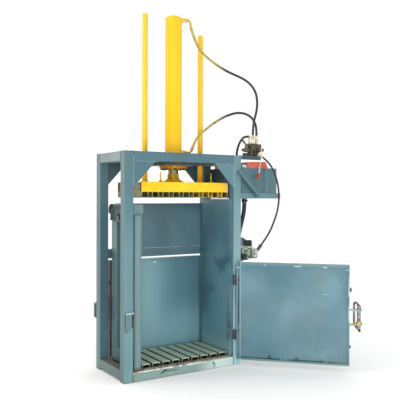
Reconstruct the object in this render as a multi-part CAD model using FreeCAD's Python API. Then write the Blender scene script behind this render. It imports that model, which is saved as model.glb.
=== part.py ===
# Upright hydraulic baler with a hinged front door, in millimetres.
# Origin: middle of the base, on the floor.  +X to the operator's right, +Y to the rear, +Z up.
# The model stands as stored: platen raised, front door open, rear door closed, locks open.

import FreeCAD, Part
import math
import os

V = FreeCAD.Vector

# ---- driving dimensions ------------------------------------------------------------------

FRAME_WIDTH = 1000.0        # outside of the posts, left to right
FRAME_DEPTH = 500.0         # outside of the posts, front to rear
FRAME_HEIGHT = 1630.0       # floor to the top of the posts
POST = 70.0                 # square section of posts and beams
POST_WALL = 5.0
POST_RADIUS = 6.0
SHEET = 5.0                 # chamber sheet

LEFT_WALL_THICK = 77.0      # post's inner face to the chamber's left face
RIGHT_WALL_THICK = 15.0
WALL_SETBACK = 30.0         # wall edges behind the front plane
WALL_REAR = 63.0            # wall edges ahead of the rear plane

DOOR_BOTTOM = 57.0
DOOR_HEIGHT = 748.0
DOOR_THICK = 40.0
REAR_DOOR_EXTRA = 7.0       # the rear door is this much taller
REAR_DOOR_INSET = 54.0      # and its free edge is this much further in
DOOR_OPEN_ANGLE = 135.0     # front door, as stored
PIN_STANDOFF = 20.0         # hinge axis in front of the post's face
PIN_INSET = 4.0             # hinge axis inboard of the post's inner face
PIN_RADIUS = 8.0
KNUCKLE_RADIUS = 15.0
RUNNING = 0.05              # radial clearance of pins and shafts
BODY_GAP = 0.4              # between pieces that move past each other

STROKE = 900.0
BORE_RADIUS = 52.0
BARREL_RADIUS = 64.5
ROD_RADIUS = 38.5
PISTON_HEIGHT = 60.0
GUIDE_RADIUS = 21.0
GUIDE_SPACING = 246.0       # guide rod axis to cylinder axis

PLATEN_CLEAR = 10.0         # platen to the chamber's side faces
PLATEN_DEPTH = 406.0
PLATEN_CHANNEL = 74.0
PLATEN_BAR_HEIGHT = 42.0
PLATEN_BAR_WIDTH = 56.0
BAR_COUNT = 9
FLOOR_BAR_WIDTH = 66.0
FLOOR_BAR_HEIGHT = 28.0
FLOOR_BAR_PITCH = 83.0

TANK_WIDTH = 359.0
TANK_HEIGHT = 238.0
TANK_DROP = 92.0            # tank top below the frame's top
HOSE_RADIUS = 9.5
PRESSURE_HOSE_RADIUS = 7.5
RETURN_HOSE_RADIUS = 9.0
SUCTION_HOSE_RADIUS = 17.5

# ---- derived positions -------------------------------------------------------------------

HALF_W = FRAME_WIDTH / 2
HALF_D = FRAME_DEPTH / 2
IN_X = HALF_W - POST
IN_Y = HALF_D - POST
CROWN_Z = FRAME_HEIGHT - POST

FACE_L = -IN_X + LEFT_WALL_THICK
FACE_R = IN_X - RIGHT_WALL_THICK
CX = (FACE_L + FACE_R) / 2
PLATEN_BAR_PITCH = (FACE_R - FACE_L - 2 * PLATEN_CLEAR - PLATEN_BAR_WIDTH) / (BAR_COUNT - 1)
FLOOR_Z = POST + SHEET

SEAT_Z = CROWN_Z - 15.0     # underside of the cylinder's seat plate
GLAND_Z = SEAT_Z - 22.0
PLATEN_TOP = GLAND_Z - 107.0
BOSS_TOP = PLATEN_TOP + 66.0
BAR_TOP = PLATEN_TOP - PLATEN_CHANNEL
PISTON_Z = SEAT_Z + 135.0 + STROKE
BARREL_TOP = PISTON_Z + PISTON_HEIGHT + 57.0

PIN_X = IN_X - PIN_INSET
PIN_Y = HALF_D + PIN_STANDOFF
PIN_TO_EDGE = 18.0
DOOR_EDGE = PIN_X - PIN_TO_EDGE
DOOR_FREE = DOOR_EDGE - (FRAME_WIDTH - 155.0)
DOOR_IN = HALF_D + 4.0
DOOR_OUT = DOOR_IN + DOOR_THICK
DOOR_TOP = DOOR_BOTTOM + DOOR_HEIGHT

TANK_TOP = FRAME_HEIGHT - TANK_DROP
TANK_Z = TANK_TOP - TANK_HEIGHT
TANK_X = HALF_W + 5.0


# ---- small construction helpers ----------------------------------------------------------

def outline(points, radius=0.0):
    """Face in the XY plane through the points, each corner rounded."""
    count = len(points)
    radii = radius if isinstance(radius, (list, tuple)) else [radius] * count
    ends = []
    for i in range(count):
        p = V(points[i][0], points[i][1], 0)
        if radii[i] <= 0:
            ends.append((p, None, p))
            continue
        q = points[i - 1]
        s = points[(i + 1) % count]
        u = (V(q[0], q[1], 0) - p).normalize()
        w = (V(s[0], s[1], 0) - p).normalize()
        half = u.getAngle(w) / 2
        bisector = (u + w).normalize()
        centre = p + bisector * (radii[i] / math.sin(half))
        cut = radii[i] / math.tan(half)
        ends.append((p + u * cut, centre - bisector * radii[i], p + w * cut))
    edges = []
    for i in range(count):
        start, middle, end = ends[i]
        if middle is not None:
            edges.append(Part.Arc(start, middle, end).toShape())
        following = ends[(i + 1) % count][0]
        if (following - end).Length > 1e-6:
            edges.append(Part.LineSegment(end, following).toShape())
    return Part.Face(Part.Wire(edges))


def placed(face, length, origin, x_to, y_to, z_to):
    """Extrude a face by length and turn its own axes to the three given."""
    solid = face.extrude(V(0, 0, length))
    solid.Placement = FreeCAD.Placement(origin, FreeCAD.Rotation(x_to, y_to, z_to, "ZXY"))
    return solid


def prism_x(points, x0, x1, radius=0.0):
    """Profile of (y, z) points, extruded from x0 to x1."""
    return placed(outline(points, radius), x1 - x0, V(x0, 0, 0), V(0, 1, 0), V(0, 0, 1), V(1, 0, 0))


def prism_y(points, y0, y1, radius=0.0):
    """Profile of (x, z) points, extruded from y0 to y1."""
    return placed(outline(points, radius), y1 - y0, V(0, y1, 0), V(1, 0, 0), V(0, 0, 1), V(0, -1, 0))


def prism_z(points, z0, z1, radius=0.0):
    """Profile of (x, y) points, extruded from z0 to z1."""
    return placed(outline(points, radius), z1 - z0, V(0, 0, z0), V(1, 0, 0), V(0, 1, 0), V(0, 0, 1))


def rect(a0, a1, b0, b1):
    return [(a0, b0), (a1, b0), (a1, b1), (a0, b1)]


def box(x0, x1, y0, y1, z0, z1):
    return Part.makeBox(x1 - x0, y1 - y0, z1 - z0, V(x0, y0, z0))


def hollow(prism, span_a, span_b, wall, radius, start, end):
    """Rectangular tube along the prism's direction."""
    a0, a1 = span_a
    b0, b1 = span_b
    outer = prism(rect(a0, a1, b0, b1), start, end, radius)
    inner_radius = max(radius - wall, 1.0)
    inner = prism(rect(a0 + wall, a1 - wall, b0 + wall, b1 - wall), start - 1, end + 1, inner_radius)
    return outer.cut(inner)


def cylinder(base, direction, radius, length):
    return Part.makeCylinder(radius, length, base, direction)


def ring(base, direction, outer, inner, length):
    return cylinder(base, direction, outer, length).cut(cylinder(base, direction, inner, length))


def between(p, q, radius):
    """Round bar from p to q."""
    return cylinder(p, q - p, radius, (q - p).Length)


def hexagon(base, direction, across, height):
    """Hexagonal prism, across its flats, standing on base."""
    reach = across / math.sqrt(3)
    corners = [V(reach * math.cos(math.radians(60 * i)), reach * math.sin(math.radians(60 * i)), 0)
               for i in range(7)]
    solid = Part.Face(Part.makePolygon(corners)).extrude(V(0, 0, height))
    solid.Placement = FreeCAD.Placement(base, FreeCAD.Rotation(V(0, 0, 1), direction))
    return solid


def turned(points, centre, direction=V(0, 0, 1)):
    """Solid of revolution of (radius, height) points about an axis."""
    wire = Part.makePolygon([V(r, 0, h) for r, h in points + points[:1]])
    solid = Part.Face(wire).revolve(V(0, 0, 0), V(0, 0, 1), 360)
    solid.Placement = FreeCAD.Placement(centre, FreeCAD.Rotation(V(0, 0, 1), direction))
    return solid


def fuse(shapes):
    solid = shapes[0].fuse(shapes[1:]).removeSplitter()
    return solid.Solids[0] if len(solid.Solids) == 1 else solid


def group(shapes):
    return Part.makeCompound(shapes)


def mirrored(shape):
    """The same piece on the other side of the front-to-rear middle plane."""
    return shape.mirror(V(0, 0, 0), V(0, 1, 0))


def path_edges(points, radii):
    """Straight runs joined by arcs tangent to both."""
    edges = []
    last = points[0]
    for i in range(1, len(points) - 1):
        back = (points[i - 1] - points[i]).normalize()
        ahead = (points[i + 1] - points[i]).normalize()
        half = back.getAngle(ahead) / 2
        cut = radii[i - 1] / math.tan(half)
        bisector = (back + ahead).normalize()
        middle = points[i] + bisector * (radii[i - 1] / math.sin(half) - radii[i - 1])
        start = points[i] + back * cut
        end = points[i] + ahead * cut
        edges.append(Part.LineSegment(last, start).toShape())
        edges.append(Part.Arc(start, middle, end).toShape())
        last = end
    edges.append(Part.LineSegment(last, points[-1]).toShape())
    return edges


def swept(points, radii, radius):
    """Round bar along a path with the given bend radii."""
    edges = path_edges(points, radii)
    circle = Part.Wire(Part.makeCircle(radius, points[0], points[1] - points[0]))
    solid = Part.Wire(edges).makePipeShell([circle], True, False)
    length = sum(edge.Length for edge in edges)
    return solid, length


def bent_bar(points, bend, radius):
    return swept(points, [bend] * (len(points) - 2), radius)[0]


def hose(name, points, radius):
    """Hose along its route: each arc as large as its two runs allow."""
    radii = []
    for i in range(1, len(points) - 1):
        back = points[i] - points[i - 1]
        ahead = points[i + 1] - points[i]
        turn = back.getAngle(ahead)
        radii.append(0.45 * min(back.Length, ahead.Length) / math.tan(turn / 2))
    solid, length = swept(points, radii, radius)
    ideal = math.pi * radius * radius * length
    runs = [(points[i + 1] - points[i]).Length for i in range(len(points) - 1)]
    print("%s: length %.0f, radii %s, runs %s, volume ratio %.4f" % (
        name, length, " ".join("%.0f" % r for r in radii), " ".join("%.0f" % r for r in runs),
        solid.Volume / ideal))
    return solid


def fitted(points, start, end):
    """Shift a route's two ends onto their fittings and share the shift along it."""
    first = start - points[0]
    last = end - points[-1]
    count = len(points)
    moved = []
    for i, point in enumerate(points):
        share = min(max((i - 1.0) / (count - 3.0), 0.0), 1.0)
        moved.append(point + first * (1 - share) + last * share)
    return moved


# ---- frame -------------------------------------------------------------------------------

def post(x, y):
    """Square tube standing on the floor, closed by a welded cap on top."""
    spans = (x - POST / 2, x + POST / 2), (y - POST / 2, y + POST / 2)
    outer = prism_z(rect(*spans[0], *spans[1]), 0, FRAME_HEIGHT, POST_RADIUS)
    inner = prism_z(rect(spans[0][0] + POST_WALL, spans[0][1] - POST_WALL,
                         spans[1][0] + POST_WALL, spans[1][1] - POST_WALL),
                    -1, FRAME_HEIGHT - POST_WALL, 1.0)
    return outer.cut(inner)


def frame_members():
    x = HALF_W - POST / 2
    y = HALF_D - POST / 2
    wide = (-HALF_D, -IN_Y)
    tall = (CROWN_Z, FRAME_HEIGHT)
    side = (-HALF_W, -IN_X)
    top_front = hollow(prism_x, wide, tall, POST_WALL, POST_RADIUS, -IN_X, IN_X)
    low_front = hollow(prism_x, wide, (0, POST), POST_WALL, POST_RADIUS, -IN_X, IN_X)
    top_left = hollow(prism_y, side, tall, POST_WALL, POST_RADIUS, -IN_Y, IN_Y)
    low_left = hollow(prism_y, side, (13, 13 + POST), POST_WALL, POST_RADIUS, -IN_Y, IN_Y)
    flip = V(1, 0, 0)
    parts = {
        "post_front_left": post(-x, -y),
        "post_front_right": post(x, -y),
        "post_rear_left": post(-x, y),
        "post_rear_right": post(x, y),
        "beam_top_front": top_front,
        "beam_top_rear": mirrored(top_front),
        "beam_top_left": top_left,
        "beam_top_right": top_left.mirror(V(0, 0, 0), flip),
        "beam_bottom_front": low_front,
        "beam_bottom_rear": mirrored(low_front),
        "beam_bottom_left": low_left,
        "beam_bottom_right": low_left.mirror(V(0, 0, 0), flip),
        "floor_bearer": hollow(prism_x, (-35, 35), (0, POST), POST_WALL, POST_RADIUS, -IN_X, IN_X),
    }
    z = DOOR_TOP + 29
    web = HALF_D - 36
    profile = [(web, z), (HALF_D, z), (HALF_D, z + 6), (web + 6, z + 6),
               (web + 6, z + POST - 6), (HALF_D, z + POST - 6), (HALF_D, z + POST), (web, z + POST)]
    parts["beam_rear_middle"] = prism_x(profile, -IN_X, IN_X)
    return parts


def corner_gussets():
    """Triangular plates that stiffen the crown's four corners."""
    plates = []
    for side in (-1, 1):
        corner = side * IN_X
        points = [(corner, CROWN_Z), (corner - side * 174, CROWN_Z), (corner, CROWN_Z - 187)]
        if side < 0:
            points = points[::-1]
        plates.append(prism_y(points, -HALF_D, -HALF_D + 10))
        plates.append(prism_y(points, HALF_D - 10, HALF_D))
    return group(plates)


def seat_channel(side):
    """Channel beside the barrel, its web towards it."""
    inner = CX + side * (BARREL_RADIUS + 4.5)
    outer = inner + side * 40
    web = inner + side * 6
    z0, z1 = CROWN_Z, FRAME_HEIGHT
    points = [(inner, z0), (outer, z0), (outer, z0 + 6), (web, z0 + 6),
              (web, z1 - 6), (outer, z1 - 6), (outer, z1), (inner, z1)]
    return prism_y(points if side > 0 else points[::-1], -IN_Y, IN_Y)


def guide_member(side):
    """Cross member with a sleeve for one guide rod."""
    x = CX + side * GUIDE_SPACING
    tube = hollow(prism_y, (x - 40, x + 40), (CROWN_Z, FRAME_HEIGHT), 5, 6, -IN_Y, IN_Y)
    sleeve = cylinder(V(x, 0, CROWN_Z - 8), V(0, 0, 1), GUIDE_RADIUS + 10, POST + 20)
    bore = cylinder(V(x, 0, CROWN_Z - 20), V(0, 0, 1), GUIDE_RADIUS + 0.35, POST + 50)
    return fuse([tube, sleeve]).cut(bore)


def crown():
    channels = [seat_channel(-1), seat_channel(1), guide_member(-1), guide_member(1)]
    plate = box(CX - 150, CX + 150, -150, 150, SEAT_Z, CROWN_Z)
    plate = plate.cut(cylinder(V(CX, 0, SEAT_Z - 1), V(0, 0, 1), BARREL_RADIUS, 20))
    for hole in gland_bolt_axes():
        plate = plate.cut(cylinder(V(hole.x, hole.y, SEAT_Z - 1), V(0, 0, 1), 8, 10))
    return {"crown_channels": group(channels), "seat_plate": plate}


# ---- chamber -----------------------------------------------------------------------------

def floor_parts():
    plate = box(FACE_L, FACE_R, -HALF_D + 12, HALF_D - 12, POST, FLOOR_Z)
    bars = []
    half = FLOOR_BAR_WIDTH / 2
    pitch = FLOOR_BAR_PITCH * (FACE_R - FACE_L) / 768.0
    reach = HALF_D - 53
    for i in range(BAR_COUNT):
        x = CX + (i - (BAR_COUNT - 1) / 2) * pitch
        top = FLOOR_Z + FLOOR_BAR_HEIGHT
        outer = prism_y([(x - half, FLOOR_Z), (x + half, FLOOR_Z), (x + half, top), (x - half, top)],
                        -reach, reach, [0, 0, 8, 8])
        inner = prism_y([(x - half + 6, FLOOR_Z - 1), (x + half - 6, FLOOR_Z - 1),
                         (x + half - 6, top - 7), (x - half + 6, top - 7)],
                        -reach - 1, reach + 1, [0, 0, 2, 2])
        bars.append(outer.cut(inner))
    return {"floor_plate": plate, "floor_bars": group(bars)}


def left_wall():
    """Inner sheet with a folded column at each end and open ribs between them."""
    top = FRAME_HEIGHT - 452
    y0 = -HALF_D + WALL_SETBACK
    y1 = HALF_D - WALL_REAR
    back = FACE_L - SHEET
    sheet = box(back, FACE_L, y0, y1, POST, top)
    front = hollow(prism_z, (FACE_L - 54, back + 1), (y0, y0 + 60), 4, 5, POST, top)
    rear = hollow(prism_z, (FACE_L - 47, back + 1), (y1 - 84, y1), 4, 5, POST, top)
    shapes = [sheet, front, rear]
    for z, height in ((POST, 100), (top - 60, 60)):
        x0 = FACE_L - 44
        shapes.append(hollow(prism_y, (x0, back + 1), (z, z + height), 4, 4, y0 + 58, y1 - 82))
    return {"left_wall": fuse(shapes), "left_wall_rail": left_wall_rail(top)}


def left_wall_rail(top):
    """Closed box rail on the left wall, its rear end rounded over, with a stop block below."""
    x0, x1 = -IN_X, -IN_X + 75
    y0, y1 = -HALF_D, IN_Y
    profile = [(y0, top + 8), (y0 + 12, top + 8), (y0 + 12, top), (y1, top), (y1, top + 74), (y0, top + 74)]
    outer = prism_x(profile, x0, x1, [2, 2, 2, 20, 46, 4])
    inner = prism_x(rect(y0 + 12, y1 - 22, top + 5, top + 69), x0 + 5, x1 - 5, [0, 10, 36, 0])
    block = box(x0, FACE_L - 54, 30, y1 - 32, top - 50, top + 1)
    return fuse([outer.cut(inner), block])


def right_wall():
    """Sheet hung between the right posts on folded edges, with outside ribs."""
    top = FRAME_HEIGHT - 340
    y0 = -HALF_D + WALL_SETBACK
    y1 = HALF_D - WALL_REAR
    x1 = FACE_R + SHEET
    shapes = [box(FACE_R, x1, y0, y1, POST, top),
              box(FACE_R, IN_X, y0, y0 + SHEET, POST, top),
              box(FACE_R, IN_X, y1 - SHEET, y1, POST, top)]
    for share in (0.2, 0.42, 0.64, 0.86):
        z = POST + share * (top - POST)
        rib = [(x1, z), (x1 + 8, z), (x1 + 8, z + 5), (x1 + 5, z + 5), (x1 + 5, z + 35),
               (x1 + 8, z + 35), (x1 + 8, z + 40), (x1, z + 40)]
        shapes.append(prism_y(rib, y0 + SHEET, y1 - SHEET))
    return {"right_wall": fuse(shapes)}


def rear_panel():
    """Upper rear sheet, folded along both edges, welded to the rear beam."""
    face = HALF_D - 41
    z0 = DOOR_TOP + 28
    z1 = FRAME_HEIGHT - 376
    sheet = box(FACE_L, FACE_R, face, face + SHEET, z0, z1)
    lip = box(FACE_L, FACE_R, face + SHEET, face + 22, z1 - SHEET, z1)
    ties = [box(-IN_X, FACE_L, face, face + SHEET, z0, z0 + POST),
            box(FACE_R, IN_X, face, face + SHEET, z0, z1)]
    return {"rear_panel": fuse([sheet, lip] + ties)}


# ---- doors and locks ---------------------------------------------------------------------

def door_panel(x_free, x_edge, z0, z1, rib_heights):
    """Door as closed at the front: sheet in a perimeter frame, ribs on its outside."""
    y_in = -DOOR_IN
    y_out = -DOOR_OUT
    rim = 14.0
    frame = box(x_free, x_edge, y_out, y_in, z0, z1)
    opening = box(x_free + rim, x_edge - rim, y_out - 1, y_in + 1, z0 + rim, z1 - rim)
    sheet = box(x_free + rim - 1, x_edge - rim + 1, y_in - 13, y_in - 8, z0 + rim - 1, z1 - rim + 1)
    shapes = [frame.cut(opening), sheet]
    for z in rib_heights:
        rib = [(y_out, z - 25), (y_out + 5, z - 25), (y_out + 5, z + 20), (y_in - 12, z + 20),
               (y_in - 12, z + 25), (y_out, z + 25)]
        shapes.append(prism_x(rib, x_free + rim - 1, x_edge - rim + 1))
    return fuse(shapes)


def frame_knuckle(x, z):
    """Lower half of a lift-off hinge, with its pin."""
    base = V(x, -PIN_Y, z)
    up = V(0, 0, 1)
    leaf = box(x - 2, x + 15, -HALF_D - 12, -HALF_D, z, z + 34)
    pin = turned([(0, 30), (PIN_RADIUS, 30), (PIN_RADIUS, 65), (PIN_RADIUS - 2, 68), (0, 68)], base)
    return fuse([cylinder(base, up, KNUCKLE_RADIUS, 34), leaf, pin])


def door_knuckle(x, z):
    """Upper half of a lift-off hinge, closed on top by a grease cap."""
    z0 = z + 34 + BODY_GAP
    z1 = z + 71
    leaf = box(x - PIN_TO_EDGE, x - 9, -PIN_Y - 8, -PIN_Y + 8, z0, z1)
    barrel = cylinder(V(x, -PIN_Y, z0), V(0, 0, 1), KNUCKLE_RADIUS, z1 - z0)
    bore = cylinder(V(x, -PIN_Y, z0 - 1), V(0, 0, 1), PIN_RADIUS + RUNNING, z1 - z0 + 2)
    return fuse([barrel, leaf]).cut(bore)


def edge_lug(x_free, z, reach, half_height):
    """Half-round stop on the door's free edge."""
    disc = turned([(0, 0), (half_height, 0), (half_height, 12), (0, 12)],
                  V(x_free + half_height - reach, -PIN_Y + 6, z), V(0, -1, 0))
    return disc.common(box(x_free - 60, x_free, -PIN_Y - 20, -PIN_Y + 20, z - 60, z + 60))


def lock_bracket(x_free, shaft_x, shaft_y, shaft_radius, z):
    """Arm from the door's outside to the lock shaft."""
    eye = shaft_radius + 10
    arm = box(shaft_x, x_free + 57, -DOOR_OUT - 28, -DOOR_OUT, z, z + 10)
    disc = cylinder(V(shaft_x, shaft_y, z), V(0, 0, 1), eye, 10)
    bore = cylinder(V(shaft_x, shaft_y, z - 1), V(0, 0, 1), shaft_radius + RUNNING, 12)
    return fuse([arm, disc]).cut(bore)


LOCK_X = DOOR_FREE - 68.0
LOCK_Y = -DOOR_OUT - 14.0
LOCK_RADIUS = 14.0
LOCK_REACH = -LOCK_Y - HALF_D - 10.0
LOCK_LOW = 352.0
LOCK_HIGH = 462.0

REAR_PIN_X = IN_X + 24.0
REAR_EDGE = REAR_PIN_X - PIN_TO_EDGE
REAR_FREE = DOOR_FREE + REAR_DOOR_INSET
REAR_LOCK_X = REAR_FREE - 68.0
REAR_LOCK_Y = -DOOR_OUT - 5.0
REAR_LOCK_RADIUS = 12.0
REAR_LOCK_REACH = -REAR_LOCK_Y - HALF_D - 9.0
REAR_LOCK_LOW = 360.0
REAR_LOCK_HIGH = 506.0
HINGE_LOW = 209.0
HINGE_HIGH = 630.0


def front_door_closed():
    ribs = (DOOR_BOTTOM + 90, LOCK_LOW - 18, LOCK_HIGH + 28, DOOR_TOP - 90)
    door = door_panel(DOOR_FREE, DOOR_EDGE, DOOR_BOTTOM, DOOR_TOP, ribs)
    fittings = [door_knuckle(PIN_X, HINGE_LOW), door_knuckle(PIN_X, HINGE_HIGH),
                edge_lug(DOOR_FREE, 621, 18, 18), edge_lug(DOOR_FREE, 199, 10, 14),
                lock_bracket(DOOR_FREE, LOCK_X, LOCK_Y, LOCK_RADIUS, LOCK_LOW),
                lock_bracket(DOOR_FREE, LOCK_X, LOCK_Y, LOCK_RADIUS, LOCK_HIGH)]
    return {"front_door": door, "front_door_fittings": group(fittings), "front_lock": front_lock()}


def front_lock():
    """Turning shaft with a bent tube handle; its long leg hooks behind the keeper."""
    axis = V(LOCK_X, LOCK_Y, 0)
    out = V(1, -1, 0).normalize()
    leg_high = axis + out * LOCK_REACH + V(0, 0, LOCK_HIGH + 81)
    leg_low = axis + out * LOCK_REACH + V(0, 0, LOCK_LOW + 2)
    high_end = axis - out * 13 + V(0, 0, LOCK_HIGH + 24)
    low_end = axis - out * 12 + V(0, 0, LOCK_LOW - 41)
    handle = bent_bar([high_end, leg_high, leg_low, low_end], 18, 9)
    shaft = cylinder(V(LOCK_X, LOCK_Y, LOCK_LOW - 27), V(0, 0, 1), LOCK_RADIUS, LOCK_HIGH - LOCK_LOW + 65)
    collar = hexagon(V(LOCK_X, LOCK_Y, LOCK_LOW + 10 + BODY_GAP), V(0, 0, 1), 40, 16)
    sockets = [cylinder(high_end, leg_high - high_end, 6.5, 9),
               cylinder(low_end, leg_low - low_end, 6.5, 9)]
    lock = fuse([shaft, collar, handle])
    for socket in sockets:
        lock = lock.cut(socket)
    return lock


def rear_lock():
    """Turning shaft with a crank between its two brackets, drawn as at the front."""
    axis = V(REAR_LOCK_X, REAR_LOCK_Y, 0)
    out = V(1, -1, 0).normalize() * REAR_LOCK_REACH
    high = V(0, 0, REAR_LOCK_HIGH - 22)
    low = V(0, 0, REAR_LOCK_LOW + 36)
    crank = bent_bar([axis + high, axis + out + high, axis + out + low, axis + low], 14, 8)
    shaft = cylinder(axis + V(0, 0, REAR_LOCK_LOW - 15), V(0, 0, 1), REAR_LOCK_RADIUS,
                     REAR_LOCK_HIGH - REAR_LOCK_LOW + 39)
    collar = cylinder(axis + V(0, 0, REAR_LOCK_LOW + 10 + BODY_GAP), V(0, 0, 1), REAR_LOCK_RADIUS + 7, 10)
    return fuse([shaft, collar, crank])


def rear_door_closed():
    """Rear door, drawn as if at the front and then mirrored."""
    top = DOOR_TOP + REAR_DOOR_EXTRA
    ribs = (DOOR_BOTTOM + 90, REAR_LOCK_LOW - 18, REAR_LOCK_HIGH + 28, top - 90)
    door = door_panel(REAR_FREE, REAR_EDGE, DOOR_BOTTOM, top, ribs)
    fittings = [door_knuckle(REAR_PIN_X, HINGE_LOW), door_knuckle(REAR_PIN_X, HINGE_HIGH),
                edge_lug(REAR_FREE, 640, 18, 14), edge_lug(REAR_FREE, 249, 10, 11),
                lock_bracket(REAR_FREE, REAR_LOCK_X, REAR_LOCK_Y, REAR_LOCK_RADIUS, REAR_LOCK_LOW),
                lock_bracket(REAR_FREE, REAR_LOCK_X, REAR_LOCK_Y, REAR_LOCK_RADIUS, REAR_LOCK_HIGH)]
    return {"rear_door": mirrored(door), "rear_door_fittings": mirrored(group(fittings)),
            "rear_lock": mirrored(rear_lock())}


def swung(shape, angle):
    """Turn a piece of the front door about its hinge pin."""
    copy = shape.copy()
    copy.rotate(V(PIN_X, -PIN_Y, 0), V(0, 0, 1), angle)
    return copy


def keeper(x0, flange_x0, flange_x1, x1, block):
    """Strap on the post's face, open at the side where the lock's leg enters."""
    y_face = -HALF_D
    z0 = LOCK_LOW + 31
    z1 = z0 + 114
    plate = box(x0, x1, y_face - 30, y_face - 22, z0, z1)
    low = box(flange_x0, flange_x1, y_face - 30, y_face, z0, z0 + 8)
    high = box(flange_x0, flange_x1, y_face - 30, y_face, z1 - 8, z1)
    shapes = [plate, low, high]
    if block > 0:
        shapes.append(prism_z([(x1 + 2, y_face), (flange_x1 - 1, y_face), (flange_x1 - 1, y_face - 22),
                               (x1 + 10, y_face - 22), (x1 + 2, y_face - 14)], z0 + block, z1 - block))
    return fuse(shapes)


def door_hardware_on_frame():
    left = -HALF_W
    front = keeper(left + 4, left + 17, left + 60, left + 43, 14)
    rear = mirrored(keeper(left - 6, left - 6, left + 20, left + 28.5, 0))
    knuckles = [frame_knuckle(PIN_X, z) for z in (HINGE_LOW, HINGE_HIGH)]
    knuckles += [mirrored(frame_knuckle(REAR_PIN_X, z)) for z in (HINGE_LOW, HINGE_HIGH)]
    return {"door_keepers": group([front, rear]), "hinge_knuckles": group(knuckles)}


# ---- cylinder and platen -----------------------------------------------------------------

PORT_AZIMUTH = math.radians(-25)
PORT_DIR = V(math.cos(PORT_AZIMUTH), math.sin(PORT_AZIMUTH), 0)
TOP_PORT_Z = BARREL_TOP - 25.0
LOW_PORT_Z = FRAME_HEIGHT + 22.0


def gland_bolt_axes():
    return [V(CX + 87 * math.cos(math.radians(22.5 + 45 * i)),
              87 * math.sin(math.radians(22.5 + 45 * i)), 0) for i in range(8)]


def cylinder_parts():
    axis = V(CX, 0, 0)
    up = V(0, 0, 1)
    inner_top = PISTON_Z + PISTON_HEIGHT + 5
    edge = BARREL_TOP - 18
    profile = [(BORE_RADIUS, SEAT_Z), (BARREL_RADIUS, SEAT_Z), (BARREL_RADIUS, edge),
               (BARREL_RADIUS - 2.5, edge + 8), (BARREL_RADIUS - 8, edge + 13.5),
               (BARREL_RADIUS - 17, edge + 16.5), (0, BARREL_TOP), (0, inner_top), (BORE_RADIUS, inner_top)]
    barrel = turned(profile, axis)
    for z in (TOP_PORT_Z, LOW_PORT_Z):
        start = axis + PORT_DIR * (BARREL_RADIUS - 5) + V(0, 0, z)
        barrel = barrel.fuse(turned([(0, 0), (19, 0), (19, 8), (15, 16), (0, 16)], start, PORT_DIR))
        barrel = barrel.cut(cylinder(start - PORT_DIR * 20, PORT_DIR, 6, 60))
    barrel = barrel.removeSplitter()

    lip = ROD_RADIUS + 11.5
    gland = turned([(ROD_RADIUS + RUNNING, GLAND_Z - 9), (lip - 2, GLAND_Z - 9), (lip, GLAND_Z - 7),
                    (lip, GLAND_Z),
                    (104, GLAND_Z), (107, GLAND_Z + 3), (107, SEAT_Z), (BORE_RADIUS, SEAT_Z),
                    (BORE_RADIUS, SEAT_Z + 58), (BORE_RADIUS - 2, SEAT_Z + 60),
                    (ROD_RADIUS + RUNNING, SEAT_Z + 60)], axis)
    bolts = []
    for hole in gland_bolt_axes():
        gland = gland.cut(cylinder(hole + V(0, 0, GLAND_Z - 1), up, 8, 40))
        head = hexagon(hole + V(0, 0, GLAND_Z - 10), up, 24, 10)
        shank = cylinder(hole + V(0, 0, GLAND_Z - 1), up, 7.95, SEAT_Z + 9 - GLAND_Z + 1)
        bolts.append(fuse([head, shank]))

    return {"cylinder_barrel": barrel.Solids[0], "cylinder_gland": gland, "gland_bolts": group(bolts),
            "cylinder_elbows": group([port_elbow_top(), port_elbow_low()])}


def on_port_plane(reach, z):
    """Point in the vertical plane through both cylinder ports."""
    return V(CX, 0, z) + PORT_DIR * reach


TOP_ELBOW = [on_port_plane(BARREL_RADIUS + 11, TOP_PORT_Z), on_port_plane(128, TOP_PORT_Z - 2),
             on_port_plane(136.5, TOP_PORT_Z - 62), on_port_plane(157.5, TOP_PORT_Z - 121)]
LOW_ELBOW = [on_port_plane(BARREL_RADIUS + 11, LOW_PORT_Z), on_port_plane(135, LOW_PORT_Z),
             on_port_plane(157, LOW_PORT_Z + 55)]


def port_elbow_top():
    points = TOP_ELBOW
    tube = swept(points, [14, 60], 7)[0]
    nut = hexagon(points[0], PORT_DIR, 26, 22)
    body = turned([(0, 0), (12, 0), (14, 6), (14, 16), (10, 24), (0, 24)],
                  points[0] + PORT_DIR * 20, PORT_DIR)
    down = (points[2] - points[1]).normalize()
    adapter = between(points[1] + down * 18, points[2], 9.5)
    crimp = between(points[2], points[3], 11)
    collar = turned([(0, 0), (12.5, 0), (12.5, 7), (0, 7)], points[2], points[3] - points[2])
    return fuse([tube, nut, body, adapter, crimp, collar])


def port_elbow_low():
    points = LOW_ELBOW
    tube = swept(points, [14], 7)[0]
    nut = hexagon(points[0], PORT_DIR, 26, 22)
    up = (points[2] - points[1]).normalize()
    crimp = between(points[1] + up * 18, points[2], 11)
    collar = turned([(0, 0), (12.5, 0), (12.5, 9), (0, 9)], points[1] + up * 14, up)
    return fuse([tube, nut, crimp, collar])


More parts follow.
